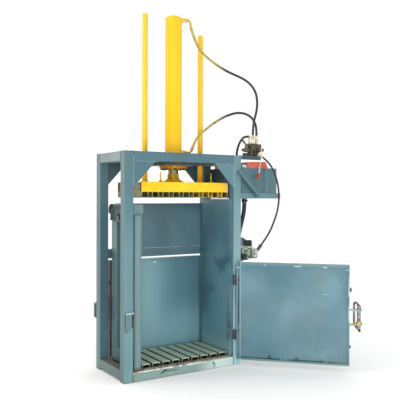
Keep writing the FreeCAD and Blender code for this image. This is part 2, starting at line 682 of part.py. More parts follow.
def platen_frame():
    """Welded platen: two long channels, end plates and the cross tubes under the guide rods."""
    x0 = FACE_L + PLATEN_CLEAR
    x1 = FACE_R - PLATEN_CLEAR
    y = PLATEN_DEPTH / 2
    z0, z1 = BAR_TOP, PLATEN_TOP
    profile = [(-y, z0), (-y + 30, z0), (-y + 30, z0 + 6), (-y + 6, z0 + 6), (-y + 6, z1 - 6),
               (-y + 30, z1 - 6), (-y + 30, z1), (-y, z1)]
    radii = [5, 0, 0, 3, 3, 0, 0, 5]
    front = prism_x(profile, x0, x1, radii)
    shapes = [front, mirrored(front)]
    for x in (x0 + 10, x1 - 18):
        shapes.append(box(x, x + 8, -y + 28, y - 28, z0, z1 - 12))
    for side in (-1, 1):
        x = CX + side * GUIDE_SPACING
        shapes.append(hollow(prism_y, (x - 35, x + 35), (z0, z1), 6, 3, -y + 5, y - 5))
    return fuse(shapes)


def rod_seat():
    """Two webs between the platen's channels and the plate that carries the rod's boss."""
    y = PLATEN_DEPTH / 2 - 30
    z0, z1 = BAR_TOP, PLATEN_TOP
    shapes = [box(CX - 78, CX + 78, -y, y, z1 - 10, z1)]
    for side in (-1, 1):
        x = CX + side * (PLATEN_BAR_PITCH - 24.5)
        web = [(x - 16, z0), (x + 16, z0), (x + 16, z0 + 8), (x + 4, z0 + 8), (x + 4, z1 - 9),
               (x - 4, z1 - 9), (x - 4, z0 + 8), (x - 16, z0 + 8)]
        shapes.append(prism_y(web, -y, y))
    return fuse(shapes)


def platen_parts():
    x0 = FACE_L + PLATEN_CLEAR
    reach = PLATEN_DEPTH / 2 - 2
    half = PLATEN_BAR_WIDTH / 2
    bottom = BAR_TOP - PLATEN_BAR_HEIGHT
    bars = []
    for i in range(BAR_COUNT):
        x = x0 + half + i * PLATEN_BAR_PITCH
        outer = prism_y([(x - half, bottom), (x + half, bottom), (x + half, BAR_TOP), (x - half, BAR_TOP)],
                        -reach, reach, [9, 9, 0, 0])
        inner = prism_y([(x - half + 5, bottom + 5), (x + half - 5, bottom + 5),
                         (x + half - 5, BAR_TOP + 1), (x - half + 5, BAR_TOP + 1)],
                        -reach - 1, reach + 1, [4, 4, 0, 0])
        bars.append(outer.cut(inner))

    axis = V(CX, 0, 0)
    r = ROD_RADIUS
    boss = turned([(r + RUNNING, PLATEN_TOP), (r + 41.5, PLATEN_TOP), (r + 41.5, PLATEN_TOP + 11),
                   (r + 21.5, PLATEN_TOP + 14), (r + 19.5, PLATEN_TOP + 24), (r + 6.5, PLATEN_TOP + 27),
                   (r + 4.5, BOSS_TOP - 2), (r + 2.5, BOSS_TOP), (r + RUNNING, BOSS_TOP)], axis)
    top = PISTON_Z + PISTON_HEIGHT
    r = BORE_RADIUS - 0.1
    rod = turned([(0, PLATEN_TOP), (ROD_RADIUS, PLATEN_TOP), (ROD_RADIUS, PISTON_Z), (r, PISTON_Z),
                  (r, PISTON_Z + 12), (r - 5, PISTON_Z + 12), (r - 5, PISTON_Z + 20), (r, PISTON_Z + 20),
                  (r, PISTON_Z + 40), (r - 5, PISTON_Z + 40), (r - 5, PISTON_Z + 48), (r, PISTON_Z + 48),
                  (r, top - 2), (r - 2, top), (0, top)], axis)
    guides = []
    for side, reach_up in ((-1, 1266.0), (1, 1168.0)):
        height = reach_up + STROKE - 900
        base = V(CX + side * GUIDE_SPACING, 0, PLATEN_TOP)
        profile = [(0, 0), (GUIDE_RADIUS + 9, 0), (GUIDE_RADIUS + 9, 4), (GUIDE_RADIUS, 13),
                   (GUIDE_RADIUS, height - 2), (GUIDE_RADIUS - 2, height), (0, height)]
        guides.append(turned(profile, base))
    pins = []
    for offset in (-192, 252):
        base = V(CX + offset, -PLATEN_DEPTH / 2 + 53, PLATEN_TOP)
        pins.append(turned([(0, 0), (13, 0), (13, 3), (5, 18), (5, 71), (3.5, 74), (0, 74)], base))
    return {"platen_frame": platen_frame(), "rod_seat": rod_seat(), "platen_bars": group(bars),
            "rod_boss": boss,
            "piston_rod": rod, "guide_rods": group(guides), "platen_pins": group(pins)}


# ---- oil tank ----------------------------------------------------------------------------

COVER_Y = HALF_D - 18.0
CAP_X = TANK_X + 42.0
CAP_Y = -HALF_D + 32.0


def tank_shelf():
    """Angle-iron shelf hung from the right posts on two diagonal braces."""
    x1 = TANK_X + TANK_WIDTH - 11
    face = -HALF_D
    z = TANK_Z
    front = prism_x([(face, z - 5), (face + 45, z - 5), (face + 45, z), (face + 5, z),
                     (face + 5, z + 38), (face, z + 38)], HALF_W, x1 + 39, [3, 0, 0, 0.8, 0, 0])
    foot = V(HALF_W + 164, 0, z + 19)
    head = V(HALF_W - 30, 0, z + 215)
    along = (head - foot).normalize()
    across = V(along.z, 0, -along.x)
    plate = []
    for point, side in ((foot, -1), (head, -1), (head, 1), (foot, 1)):
        corner = point + across * 18 * side
        plate.append((corner.x, corner.z))
    leaf = prism_y(plate[::-1], face - 5, face)
    lip = []
    for point, side in ((foot, 13), (head, 13), (head, 18), (foot, 18)):
        corner = point - across * side
        lip.append((corner.x, corner.z))
    flange = prism_y(lip[::-1], face - 35, face)
    bars = [box(TANK_X + 25, TANK_X + 65, face + 40, -face - 40, z - 5, z),
            box(TANK_X + TANK_WIDTH - 75, TANK_X + TANK_WIDTH - 35, face + 40, -face - 40, z - 5, z)]
    half = [front, leaf, flange]
    return fuse(half + [mirrored(s) for s in half] + bars)


def tank_parts():
    x0, x1 = TANK_X, TANK_X + TANK_WIDTH
    y = HALF_D - 6
    outer = prism_z(rect(x0, x1, -y, y), TANK_Z, TANK_TOP, 14)
    inner = prism_z(rect(x0 + 4, x1 - 4, -y + 4, y - 4), TANK_Z + 4, TANK_TOP - 4, 10)
    hole = cylinder(V(CAP_X, CAP_Y, TANK_TOP - 10), V(0, 0, 1), 16, 20)
    outlet = cylinder(V(SUCTION_X, SUCTION_Y, TANK_Z - 1), V(0, 0, 1), 14, 10)
    inlet = cylinder(V(RETURN_X, RETURN_Y, TANK_TOP - 10), V(0, 0, 1), 6, 20)
    tank = outer.cut(inner).cut(hole).cut(outlet).cut(inlet)

    left = TANK_X + 64
    right = TANK_X + 275
    top = TANK_TOP + 51
    skin = [(left, TANK_TOP), (right, TANK_TOP), (right - 26, top), (left + 22, top - 5),
            (left + 10, top - 10), (left, top - 24)]
    core = [(left + 3, TANK_TOP - 1), (right - 3, TANK_TOP - 1), (right - 29, top - 3), (left + 23, top - 8),
            (left + 12, top - 13), (left + 3, top - 25)]
    cover = prism_y(skin, -COVER_Y, COVER_Y).cut(prism_y(core, -COVER_Y + 3, COVER_Y - 3))
    groove = prism_x([(-COVER_Y - 1, top - 26), (-COVER_Y + 2, top - 25), (-COVER_Y + 2, top - 17),
                      (-COVER_Y - 1, top - 16)], left + 14, right - 24)
    cover = cover.cut(groove)

    cap = turned([(0, -12), (15.9, -12), (15.9, 0), (20, 0), (20, 19), (17, 22), (8, 23), (8, 27), (0, 27)],
                 V(CAP_X, CAP_Y, TANK_TOP))
    plug_at = V(x1, -HALF_D + 50, TANK_Z + 18)
    plug = fuse([cylinder(plug_at, V(1, 0, 0), 16, 5), hexagon(plug_at, V(1, 0, 0), 22, 18)])
    return {"tank_shelf": tank_shelf(), "oil_tank": tank, "tank_cover": cover,
            "tank_plugs": group([cap, plug])}


# ---- control valve -----------------------------------------------------------------------

VALVE_X = HALF_W + 100.0
VALVE_W = 104.0
VALVE_Z = FRAME_HEIGHT + 46.0
VALVE_TOP = VALVE_Z + 52.0
VALVE_FRONT = -HALF_D + 10.0
LEVER_X = HALF_W + 186.0
LEVER_Z = FRAME_HEIGHT + 48.0
LEVER_Y = -HALF_D - 25.0
PORT_A = V(HALF_W + 128, -HALF_D + 22, VALVE_TOP)
PORT_B = V(HALF_W + 188, -HALF_D + 54, VALVE_TOP)
PORT_T = V(HALF_W + 112, -HALF_D + 47, VALVE_TOP)
PORT_P = V(HALF_W + 190, -HALF_D + 28, VALVE_Z)


def valve_bracket():
    """Folded plate welded to the right front post, with the valve's two slotted feet."""
    z = FRAME_HEIGHT
    face = -HALF_D
    x1 = HALF_W + 190
    plate = box(HALF_W, x1, face, face + 100, z - 8, z)
    lip = box(HALF_W, x1, face, face + 6, z - 30, z)
    rib = prism_y([(HALF_W, z - 30), (HALF_W + 70, z - 8), (HALF_W, z - 8)], face + 44, face + 50)
    return fuse([plate, lip, rib] + valve_feet())


def valve_feet():
    """Two slotted feet between the plate and the valve."""
    feet = []
    for x0, x1 in ((HALF_W + 52, HALF_W + 124), (HALF_W + 142, HALF_W + 172)):
        foot = box(x0, x1, VALVE_FRONT + 4, VALVE_FRONT + 46, FRAME_HEIGHT, FRAME_HEIGHT + 24)
        if x1 - x0 > 50:
            slot = prism_y(rect(x0 + 14, x0 + 46, FRAME_HEIGHT + 8, FRAME_HEIGHT + 17),
                           VALVE_FRONT, VALVE_FRONT + 50, 4)
            foot = foot.cut(slot)
            post_up = box(VALVE_X + 4, x1, VALVE_FRONT + 4, VALVE_FRONT + 46, FRAME_HEIGHT + 24, VALVE_Z)
        else:
            post_up = box(x0, x1, VALVE_FRONT + 4, VALVE_FRONT + 46, FRAME_HEIGHT + 24, VALVE_Z)
        feet += [foot, post_up]
    return feet


def valve_body():
    """Valve block with its spool cap, end cap and the lever's pivot."""
    y0 = VALVE_FRONT
    y1 = VALVE_FRONT + 54
    x1 = VALVE_X + VALVE_W
    block = prism_y([(VALVE_X, VALVE_Z), (x1, VALVE_Z), (x1, VALVE_TOP - 6), (x1 - 8, VALVE_TOP),
                     (VALVE_X + 6, VALVE_TOP), (VALVE_X, VALVE_TOP - 6)], y0, y1)
    spool = turned([(0, 0), (17, 0), (17, 34), (14, 46), (14, 56), (0, 56)],
                   V(VALVE_X + 2, y0 + 27, VALVE_Z + 2), V(-1, 0, 0))
    lower = spool.common(box(VALVE_X - 80, VALVE_X + 10, y0, y1, VALVE_Z - 22, VALVE_Z + 30))
    knob = turned([(0, 0), (9, 0), (11, 3), (11, 10), (8, 13), (0, 13)],
                  V(VALVE_X - 54, y0 + 27, VALVE_Z + 2), V(-1, 0, 0))
    pad = cylinder(V(LEVER_X, y0 + 2, LEVER_Z), V(0, -1, 0), 15, 8)
    reach = y0 - LEVER_Y
    pivot = turned([(0, 0), (10, 0), (10, reach - 6.8), (6, reach - 6.8), (6, reach + 6.6),
                    (9.5, reach + 6.6), (9.5, reach + 9), (0, reach + 9)],
                   V(LEVER_X, y0, LEVER_Z), V(0, -1, 0))
    bosses = [cylinder(p - V(0, 0, 3), V(0, 0, 1), 15, 6) for p in (PORT_A, PORT_B)]
    return fuse([block, lower, knob, pad, pivot] + bosses)


def relief_valve():
    """Adjustable relief cartridge at the valve's left end, with its slanted stem."""
    foot = V(VALVE_X - 22, VALVE_FRONT + 27, VALVE_Z + 12)
    boss = turned([(0, 0), (15, 0), (15, 26), (12, 34), (12, 40), (0, 40)], foot)
    lean = V(-49, 0, 46).normalize()
    stem = cylinder(foot + V(4, 0, 24), lean, 7.5, 62)
    nut = hexagon(foot + V(4, 0, 24) + lean * 44, lean, 20, 10)
    body = fuse([boss, stem, nut])
    return body.cut(turned([(0, -60), (17.0, -60), (17.0, 60), (0, 60)],
                           V(VALVE_X - 20, VALVE_FRONT + 27, VALVE_Z + 2), V(1, 0, 0)))


def lever():
    """Hand lever on the spool's pivot, ending in a round grip."""
    y = LEVER_Y
    pivot = V(LEVER_X, y, LEVER_Z)
    eye = ring(pivot + V(0, 6, 0), V(0, -1, 0), 15, 6 + RUNNING, 12)
    end = V(HALF_W + 153, y, FRAME_HEIGHT - 134)
    lean = (end - pivot).normalize()
    rod = between(pivot + lean * 12, end, 4.5)
    grip = turned([(0, -8), (6, -8), (7, 2), (11, 16), (14, 28), (14, 36), (10, 43), (5, 46), (0, 46)],
                  end, lean)
    return fuse([eye, rod, grip])


# ---- power pack --------------------------------------------------------------------------

MOTOR_X = HALF_W + 154.0
MOTOR_Z = 884.0
MOTOR_RADIUS = 92.0
MOTOR_FRONT = -34.0
PUMP_FRONT = -150.0
PUMP_LEFT = HALF_W + 72.0
PUMP_RIGHT = HALF_W + 240.0
PUMP_LOW = MOTOR_Z - 78.0
PUMP_TOP = MOTOR_Z + 22.0
SHELF_Z = MOTOR_Z - MOTOR_RADIUS - 2.0


def pump():
    """Gear pump casting: body, bolted front cover, outlet block and the adapter plate on the motor."""
    x0, x1, z0, z1 = PUMP_LEFT, PUMP_RIGHT, PUMP_LOW, PUMP_TOP
    body = prism_y([(x0, z0), (x1 - 26, z0), (x1 - 26, z1 - 6), (x1 - 60, z1), (x0, z1)],
                   PUMP_FRONT + 22, -60, [30, 14, 8, 14, 30])
    cover = prism_y([(x0 + 8, z0 + 8), (x1 - 70, z0 + 8), (x1 - 70, z1 - 8), (x0 + 8, z1 - 8)],
                    PUMP_FRONT + 8, PUMP_FRONT + 23, [26, 20, 20, 26])
    outlet = prism_y([(x1 - 54, z0 + 2), (x1 - 10, z0 + 2), (x1, z0 + 14), (x1, z1 - 40), (x1 - 22, z1 - 14),
                      (x1 - 54, z1 - 14)], PUMP_FRONT, PUMP_FRONT + 76, [6, 4, 4, 4, 4, 4])
    ring_boss = turned([(16, 0), (30, 0), (33, 6), (33, 16), (16, 16)],
                       V(x0 + 38, PUMP_FRONT + 9, z1 - 38), V(0, -1, 0))
    hub = turned([(0, 0), (31, 0), (31, 12), (24, 20), (14, 20), (14, 12), (0, 12)],
                 V(x0 + 44, PUMP_FRONT + 9, z0 + 32), V(0, -1, 0))
    bell = turned([(0, 0), (50, 0), (56, 16), (0, 16)], V(MOTOR_X, -61, MOTOR_Z - 28), V(0, 1, 0))
    port = between(PUMP_PORT - FERRULE_P * 30, PUMP_PORT, 14)
    intake = between(PUMP_INTAKE - INTAKE_DIR * 52, PUMP_INTAKE, 21)
    return fuse([body, cover, outlet, ring_boss, hub, bell, port, intake])


def motor():
    """Finned motor on two feet: adapter plate and end shield in front, fan cowl at the rear."""
    axis = V(0, 1, 0)
    start = V(MOTOR_X, MOTOR_FRONT, MOTOR_Z)
    adapter = prism_y(rect(MOTOR_X - 96, MOTOR_X + 106, MOTOR_Z - 84, MOTOR_Z + 66),
                      MOTOR_FRONT - 11, MOTOR_FRONT + 1, 18)
    shield = turned([(0, 0), (74, 0), (86, 6), (MOTOR_RADIUS, 14), (MOTOR_RADIUS, 30), (0, 30)], start, axis)
    body = cylinder(start + V(0, 29, 0), axis, 78, 158)
    cowl = turned([(0, 0), (MOTOR_RADIUS, 0), (MOTOR_RADIUS, 40), (MOTOR_RADIUS - 10, 50), (0, 52)],
                  start + V(0, 184, 0), axis)
    shapes = [adapter, shield, body, cowl]
    fins = 20
    for i in range(fins):
        fin = box(MOTOR_X - 1.8, MOTOR_X + 1.8, MOTOR_FRONT + 28, MOTOR_FRONT + 186,
                  MOTOR_Z + 74, MOTOR_Z + 88)
        fin.rotate(V(MOTOR_X, 0, MOTOR_Z), axis, 360.0 * (i + 0.5) / fins)
        shapes.append(fin)
    for y in (14, 120):
        shapes.append(box(MOTOR_X - 62, MOTOR_X + 62, y, y + 26, SHELF_Z, SHELF_Z + 12))
        shapes.append(box(MOTOR_X - 50, MOTOR_X + 50, y + 6, y + 20, SHELF_Z + 10, SHELF_Z + 30))
    return fuse(shapes)


def terminal_box():
    """Cable box on the motor's right side."""
    x0 = MOTOR_X + 74
    body = prism_y(rect(x0, x0 + 62, MOTOR_Z - 34, MOTOR_Z + 44), 34, 118, 7)
    carve = cylinder(V(MOTOR_X, 20, MOTOR_Z), V(0, 1, 0), 88.2, 120)
    gland = cylinder(V(x0 + 40, 76, MOTOR_Z - 48), V(0, 0, 1), 9, 16)
    return fuse([body.cut(carve), gland])


def motor_bracket():
    """Shelf for the motor, welded across both right posts."""
    z = SHELF_Z
    x0 = HALF_W
    x1 = MOTOR_X + 92
    strip = box(x0, x0 + 8, -HALF_D, HALF_D, z - 60, z)
    plate = box(x0, x1, -14, 176, z - 8, z)
    shapes = [strip, plate]
    for y in (0, 154):
        shapes.append(prism_y([(x0 + 8, z - 60), (x1 - 20, z - 8), (x0 + 8, z - 8)], y, y + 8))
    return fuse(shapes)


# ---- hoses -------------------------------------------------------------------------------

SUCTION_X = HALF_W + 177.0
SUCTION_Y = -50.0
RETURN_X = HALF_W + 45.0
RETURN_Y = -122.0
INTAKE = V(HALF_W + 97, -74, PUMP_TOP + 62)
INTAKE_DIR = V(17, 8, 52).normalize()
PUMP_INTAKE = INTAKE - INTAKE_DIR * 32

END_A = TOP_ELBOW[-1]
END_B = LOW_ELBOW[-1]
CRIMP_A = (TOP_ELBOW[-1] - TOP_ELBOW[-2]).normalize()
CRIMP_B = (LOW_ELBOW[-1] - LOW_ELBOW[-2]).normalize()
START_P = V(HALF_W + 213, -HALF_D + 2, FRAME_HEIGHT - 7)
FERRULE_P = V(40, -17, 58).normalize()
END_P = V(HALF_W + 280, -145, MOTOR_Z + 32)
PUMP_PORT = END_P - FERRULE_P * 58


def vectors(points):
    return [V(*p) for p in points]


ROUTE_A = vectors([
    (628, -228, 1798), (628, -228, 1850), (643, -224, 1918), (672, -216, 1985), (690, -204, 2062),
    (690, -188, 2140), (662, -170, 2200), (610, -152, 2244), (546, -134, 2272), (474, -118, 2296),
    (400, -106, 2328), (330, -96, 2366), (262, -87, 2411), (199.5, -78.6, 2471.0)]) + [END_A]

ROUTE_B = vectors([
    (688, -196, 1798), (688, -196, 1850), (680, -188, 1902), (654, -176, 1946), (606, -160, 1974),
    (546, -142, 1980), (482, -126, 1964), (412, -112, 1932), (342, -100, 1888), (268, -88, 1832)])

ROUTE_P = vectors([
    (713, -248, 1623), (736, -274, 1596), (774, -292, 1540), (808, -299, 1466), (828, -302, 1384),
    (836, -299, 1298), (834, -284, 1206), (824, -250, 1116), (806, -198, 1012), (778, -140, 922)])

ROUTE_T = vectors([
    (599, -203, 1786), (571, -203, 1786), (549, -197, 1773), (537, -183, 1749), (533, -163, 1718),
    (536, -142, 1682), (545, -122, 1645), (545, -122, 1604)])

ROUTE_S = vectors([
    (677, -50, 1262), (677, -50, 1214), (664, -51, 1147), (640, -56, 1082), (614, -66, 1020),
    (597, -74, 968)])


def hose_routes():
    """Route points of the five hoses, their ends on the fittings."""
    a = fitted(ROUTE_A, PORT_A + V(0, 0, 70), END_A)
    a[-2] = END_A + CRIMP_A * 85
    b = fitted(ROUTE_B + [END_B + CRIMP_B * 68, END_B], PORT_B + V(0, 0, 70), END_B)
    b[-2] = END_B + CRIMP_B * 68
    p = fitted(ROUTE_P, START_P, END_P)
    p[-2] = END_P + FERRULE_P * 106
    t = fitted(ROUTE_T, PORT_T + V(-13, 0, 58), V(RETURN_X, RETURN_Y, TANK_TOP + 58))
    s = fitted(ROUTE_S, V(SUCTION_X, SUCTION_Y, TANK_Z - 38), INTAKE)
    s[-2] = INTAKE + INTAKE_DIR * 56
    return {"hose_cylinder_top": (a, HOSE_RADIUS), "hose_cylinder_bottom": (b, HOSE_RADIUS),
            "hose_pressure": (p, PRESSURE_HOSE_RADIUS), "hose_return": (t, RETURN_HOSE_RADIUS),
            "hose_suction": (s, SUCTION_HOSE_RADIUS)}


def ferrule(base, end, nut_across, radius):
    """Swivel nut and crimped sleeve from a port to a hose's end."""
    out = (end - base).normalize()
    length = (end - base).Length
    nut = hexagon(base, out, nut_across, min(20, length * 0.35))
    sleeve = turned([(0, 0), (radius - 2, 0), (radius - 2, length * 0.4), (radius, length * 0.42),
                     (radius, length - 1), (radius - 1, length), (0, length)], base, out)
    return fuse([nut, sleeve])


def hose_fittings(routes):
    a, b = routes["hose_cylinder_top"][0], routes["hose_cylinder_bottom"][0]
    p, t, s = routes["hose_pressure"][0], routes["hose_return"][0], routes["hose_suction"][0]
    solids = [ferrule(PORT_A + V(0, 0, 3), a[0], 26, 12.5), ferrule(PORT_B + V(0, 0, 3), b[0], 26, 12.5)]

    elbow_z = t[0].z
    stem = fuse([hexagon(PORT_T, V(0, 0, 1), 18, 16), cylinder(PORT_T, V(0, 0, 1), 7, elbow_z - PORT_T.z),
                 Part.makeSphere(9, V(PORT_T.x, PORT_T.y, elbow_z)),
                 between(V(PORT_T.x, PORT_T.y, elbow_z), t[0], 9)])
    solids.append(stem)

    first = (p[1] - p[0]).normalize()
    ball = p[0] - first * 42
    stub = fuse([cylinder(V(ball.x, ball.y, ball.z), V(0, 0, 1), 9, VALVE_Z - ball.z),
                 Part.makeSphere(13, ball), between(ball, p[0], 10)])
    solids.append(stub)
    solids.append(ferrule(PUMP_PORT, p[-1], 26, 13))
    solids.append(ferrule(V(RETURN_X, RETURN_Y, TANK_TOP), t[-1], 20, 13))
    solids.append(ferrule(V(SUCTION_X, SUCTION_Y, TANK_Z), s[0], 44, 22))
    solids.append(ferrule(PUMP_INTAKE, s[-1], 40, 21))
    return group(solids)


# ---- assembly ----------------------------------------------------------------------------

def build():
    parts = {}
    parts.update(frame_members())
    parts["corner_gussets"] = corner_gussets()
    parts.update(crown())
    parts.update(floor_parts())
    parts.update(left_wall())
    parts.update(right_wall())
    parts.update(rear_panel())
    for name, shape in front_door_closed().items():
        parts[name] = swung(shape, DOOR_OPEN_ANGLE)
    parts.update(rear_door_closed())
    parts.update(door_hardware_on_frame())
    parts.update(cylinder_parts())
    parts.update(platen_parts())
    parts.update(tank_parts())
    parts["valve_bracket"] = valve_bracket()
    parts["valve_body"] = valve_body()
    parts["relief_valve"] = relief_valve()
    parts["valve_lever"] = lever()
    parts["pump"] = pump()
    parts["motor"] = motor()
    parts["terminal_box"] = terminal_box()
    parts["motor_bracket"] = motor_bracket()
    routes = hose_routes()
    for name, (points, radius) in routes.items():
        parts[name] = hose(name, points, radius)
    parts["hose_fittings"] = hose_fittings(routes)
    return parts


def main():
    os.makedirs("parts", exist_ok=True)
    parts = build()
    for name in sorted(parts):
        shape = parts[name]
        solids = len(shape.Solids)
        if not shape.isValid():
            print("not valid:", name)
        print("%-22s solids %2d volume %.1f cm3" % (name, solids, shape.Volume / 1000))
        shape.exportStep(os.path.join("parts", name + ".step"))
    print(len(parts), "nodes")


main()
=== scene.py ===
# %% [markdown]
# # Dressing an upright baler
# The engineering model of a small baler for card and film is already here: a frame of square tube, a
# yellow press, two doors, an oil tank and its hoses.  This lesson gives it its looks.  Everything is in
# metres, and a piece goes where the drawing says, so nothing has to be fitted by eye.

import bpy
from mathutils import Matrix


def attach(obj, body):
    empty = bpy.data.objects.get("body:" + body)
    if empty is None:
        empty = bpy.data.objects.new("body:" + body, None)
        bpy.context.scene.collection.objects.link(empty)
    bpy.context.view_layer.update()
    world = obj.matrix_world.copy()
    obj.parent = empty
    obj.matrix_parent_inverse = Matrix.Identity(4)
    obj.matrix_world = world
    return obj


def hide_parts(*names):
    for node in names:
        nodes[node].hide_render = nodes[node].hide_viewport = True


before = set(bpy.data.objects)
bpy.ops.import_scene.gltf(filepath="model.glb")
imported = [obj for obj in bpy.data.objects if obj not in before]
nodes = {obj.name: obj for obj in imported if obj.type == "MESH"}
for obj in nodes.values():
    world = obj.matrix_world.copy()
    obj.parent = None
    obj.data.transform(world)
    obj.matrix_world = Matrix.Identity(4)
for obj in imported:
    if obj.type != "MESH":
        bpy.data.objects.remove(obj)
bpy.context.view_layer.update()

import math
import random

import bmesh
import bpy
from mathutils import Matrix, Vector

MIDDLE_X = 0.031
PIN_X, PIN_Y = 0.426, -0.27


def new_object(name, data):
    """A new object in the scene."""
    made = bpy.data.objects.new(name, data)
    bpy.context.scene.collection.objects.link(made)
    return made


# %% [markdown]
# ## The camera
# A photograph of a box shape gives its camera away: the edges that run off to the right and to the left
# meet at two vanishing points.  The numbers here come from fitting those edges.  The lens is a long one
# for the picture's 400 pixels, which keeps the posts nearly upright.

# %% Camera
FRAME_PIXELS = 400
FOCAL_PIXELS = 621.73
SENSOR = 36


def look_along(yaw, pitch, roll):
    """Turn for a camera that looks along +Y, then to the right by yaw and up by pitch."""
    ahead = Vector((math.sin(yaw) * math.cos(pitch), math.cos(yaw) * math.cos(pitch), math.sin(pitch)))
    right = Vector((math.cos(yaw), -math.sin(yaw), 0))
    up = right.cross(ahead)
    rolled_right = right * math.cos(roll) + up * math.sin(roll)
    rolled_up = up * math.cos(roll) - right * math.sin(roll)
    return Matrix((rolled_right, rolled_up, -ahead)).transposed()


lens_data = bpy.data.cameras.new("photo_camera")
lens_data.sensor_width = SENSOR
lens_data.lens = FOCAL_PIXELS / FRAME_PIXELS * SENSOR
lens_data.clip_start = 0.05
lens_data.clip_end = 60
camera = new_object("photo_camera", lens_data)
turn = look_along(0.562034, -0.006105, 0.003088)
camera.matrix_world = Matrix.Translation((-2.35814, -4.18469, 1.31189)) @ turn.to_4x4()
bpy.context.scene.camera = camera
print("camera", [round(v, 3) for v in camera.location], "lens", round(lens_data.lens, 2))

# %% [markdown]
# ## The hoses
# A pressure hose is a fixed length of something springy, so its line is one smooth curve: it leaves a
# fitting straight, bends no tighter than its wire braid lets it, and goes straight into the next
# fitting.  A NURBS curve does this with a handful of points, because it rounds every corner by itself.
# The points are those of the drawing.

# %% Hose routes, each with the radius and the length of its hose
HOSES = {
    "hose_cylinder_top": (0.0095, 1.054, [
        (0.628, -0.228, 1.798), (0.628, -0.228, 1.85), (0.643, -0.224, 1.918), (0.672, -0.216, 1.985),
        (0.69, -0.204, 2.062), (0.69, -0.188, 2.14), (0.662, -0.17, 2.2), (0.61, -0.152, 2.244),
        (0.546, -0.134, 2.272), (0.474, -0.118, 2.296), (0.4, -0.106, 2.328), (0.33, -0.096, 2.366),
        (0.262, -0.087, 2.411), (0.1996, -0.0786, 2.4709), (0.1737, -0.0666, 2.551)]),
    "hose_cylinder_bottom": (0.0095, 0.76, [
        (0.688, -0.196, 1.798), (0.688, -0.196, 1.85), (0.68, -0.188, 1.902), (0.654, -0.176, 1.946),
        (0.606, -0.16, 1.974), (0.546, -0.142, 1.98), (0.482, -0.126, 1.964), (0.412, -0.112, 1.932),
        (0.342, -0.1, 1.888), (0.268, -0.088, 1.832), (0.1962, -0.077, 1.7701), (0.1733, -0.0664, 1.707)]),
    "hose_pressure": (0.0075, 0.8, [
        (0.713, -0.248, 1.623), (0.736, -0.274, 1.596), (0.7743, -0.2927, 1.5391), (0.8086, -0.3004, 1.4643),
        (0.8289, -0.3041, 1.3814), (0.8371, -0.3019, 1.2946), (0.8354, -0.2876, 1.2017),
        (0.8257, -0.2543, 1.1109), (0.8385, -0.1699, 1.0008), (0.78, -0.145, 0.916)]),
    "hose_return": (0.009, 0.251, [
        (0.599, -0.203, 1.786), (0.571, -0.203, 1.786), (0.549, -0.197, 1.7714), (0.537, -0.183, 1.7458),
        (0.533, -0.163, 1.7132), (0.536, -0.142, 1.6756), (0.545, -0.122, 1.637), (0.545, -0.122, 1.596)]),
    "hose_suction": (0.0175, 0.309, [
        (0.677, -0.05, 1.262), (0.677, -0.05, 1.214), (0.664, -0.051, 1.147), (0.64, -0.056, 1.082),
        (0.6142, -0.0659, 1.0207), (0.597, -0.074, 0.968)]),
}

def hose_curve(name, radius, points):
    """One round hose on a smooth curve through its route.  The knots carry its radius."""
    data = bpy.data.curves.new(name + "_rubber", "CURVE")
    data.dimensions = "3D"
    data.bevel_depth = 1
    data.bevel_resolution = 6
    data.resolution_u = 16
    line = data.splines.new("NURBS")
    line.points.add(len(points) - 1)
    for knot, place in zip(line.points, points):
        knot.co = (*place, 1)
        knot.radius = radius
    line.order_u = 3
    line.use_endpoint_u = True
    return new_object(name + "_rubber", data)


hoses = {}
for name, (radius, length, points) in HOSES.items():
    hoses[name] = hose_curve(name, radius, points)
    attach(hoses[name], "frame")
    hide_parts(name)
print("hoses", {name: len(route[-1]) for name, route in HOSES.items()})

# %% [markdown]
# ## Writing materials as sums
# A procedural finish is arithmetic on patterns: some noise, times a mask, taken from a colour.  Wired by
# hand that soon becomes a tangle.  Here a small class stands for one socket of the node graph, and
# Python's own operators add the nodes, so a finish reads like a sum.  Every other node comes from one
# method that takes its kind, its settings and what goes into its sockets.

# %% A socket that can be calculated with
class Flow:
    """The output of a node.  Sums and products of flows add Math nodes to the finish."""

    def __init__(self, finish, socket):
        self.finish = finish
        self.socket = socket

    def sum_with(self, operation, first, second, clamp=False):
        return self.finish.node("ShaderNodeMath", {0: first, 1: second}, operation=operation, use_clamp=clamp)

    def __add__(self, other):
        return self.sum_with("ADD", self, other)

    def __radd__(self, other):
        return self.sum_with("ADD", other, self)

    def __sub__(self, other):
        return self.sum_with("SUBTRACT", self, other)

    def __rsub__(self, other):
        return self.sum_with("SUBTRACT", other, self)

    def __mul__(self, other):
        return self.sum_with("MULTIPLY", self, other)

    def __rmul__(self, other):
        return self.sum_with("MULTIPLY", other, self)

    def clipped(self):
        return self.sum_with("ADD", self, 0, clamp=True)

    def band(self, low, high, soft):
        """1 between low and high, fading over soft to both sides of each."""
        return self.ramp(low - soft, low + soft) * self.ramp(high + soft, high - soft)

    def ramp(self, low, high):
        """0 below low, 1 above high, smooth between; the other way round if low is the larger."""
        inputs = {0: self, 1: low, 2: high} if low <= high else {0: self, 1: high, 2: low, 3: 1, 4: 0}
        return self.finish.node("ShaderNodeMapRange", inputs, interpolation_type="SMOOTHSTEP")


# %% Colours as read off a screen
def shade(red, green, blue):
    """A colour as read off a screen, 0 to 255, as the linear colour that light works with."""
    linear = []
    for level in (red, green, blue):
        v = level / 255
        linear.append(v / 12.92 if v <= 0.04045 else ((v + 0.055) / 1.055) ** 2.4)
    return (*linear, 1)


def blended(first, second, share):
    """A colour between two others."""
    return tuple(a * (1 - share) + b * share for a, b in zip(first, second))


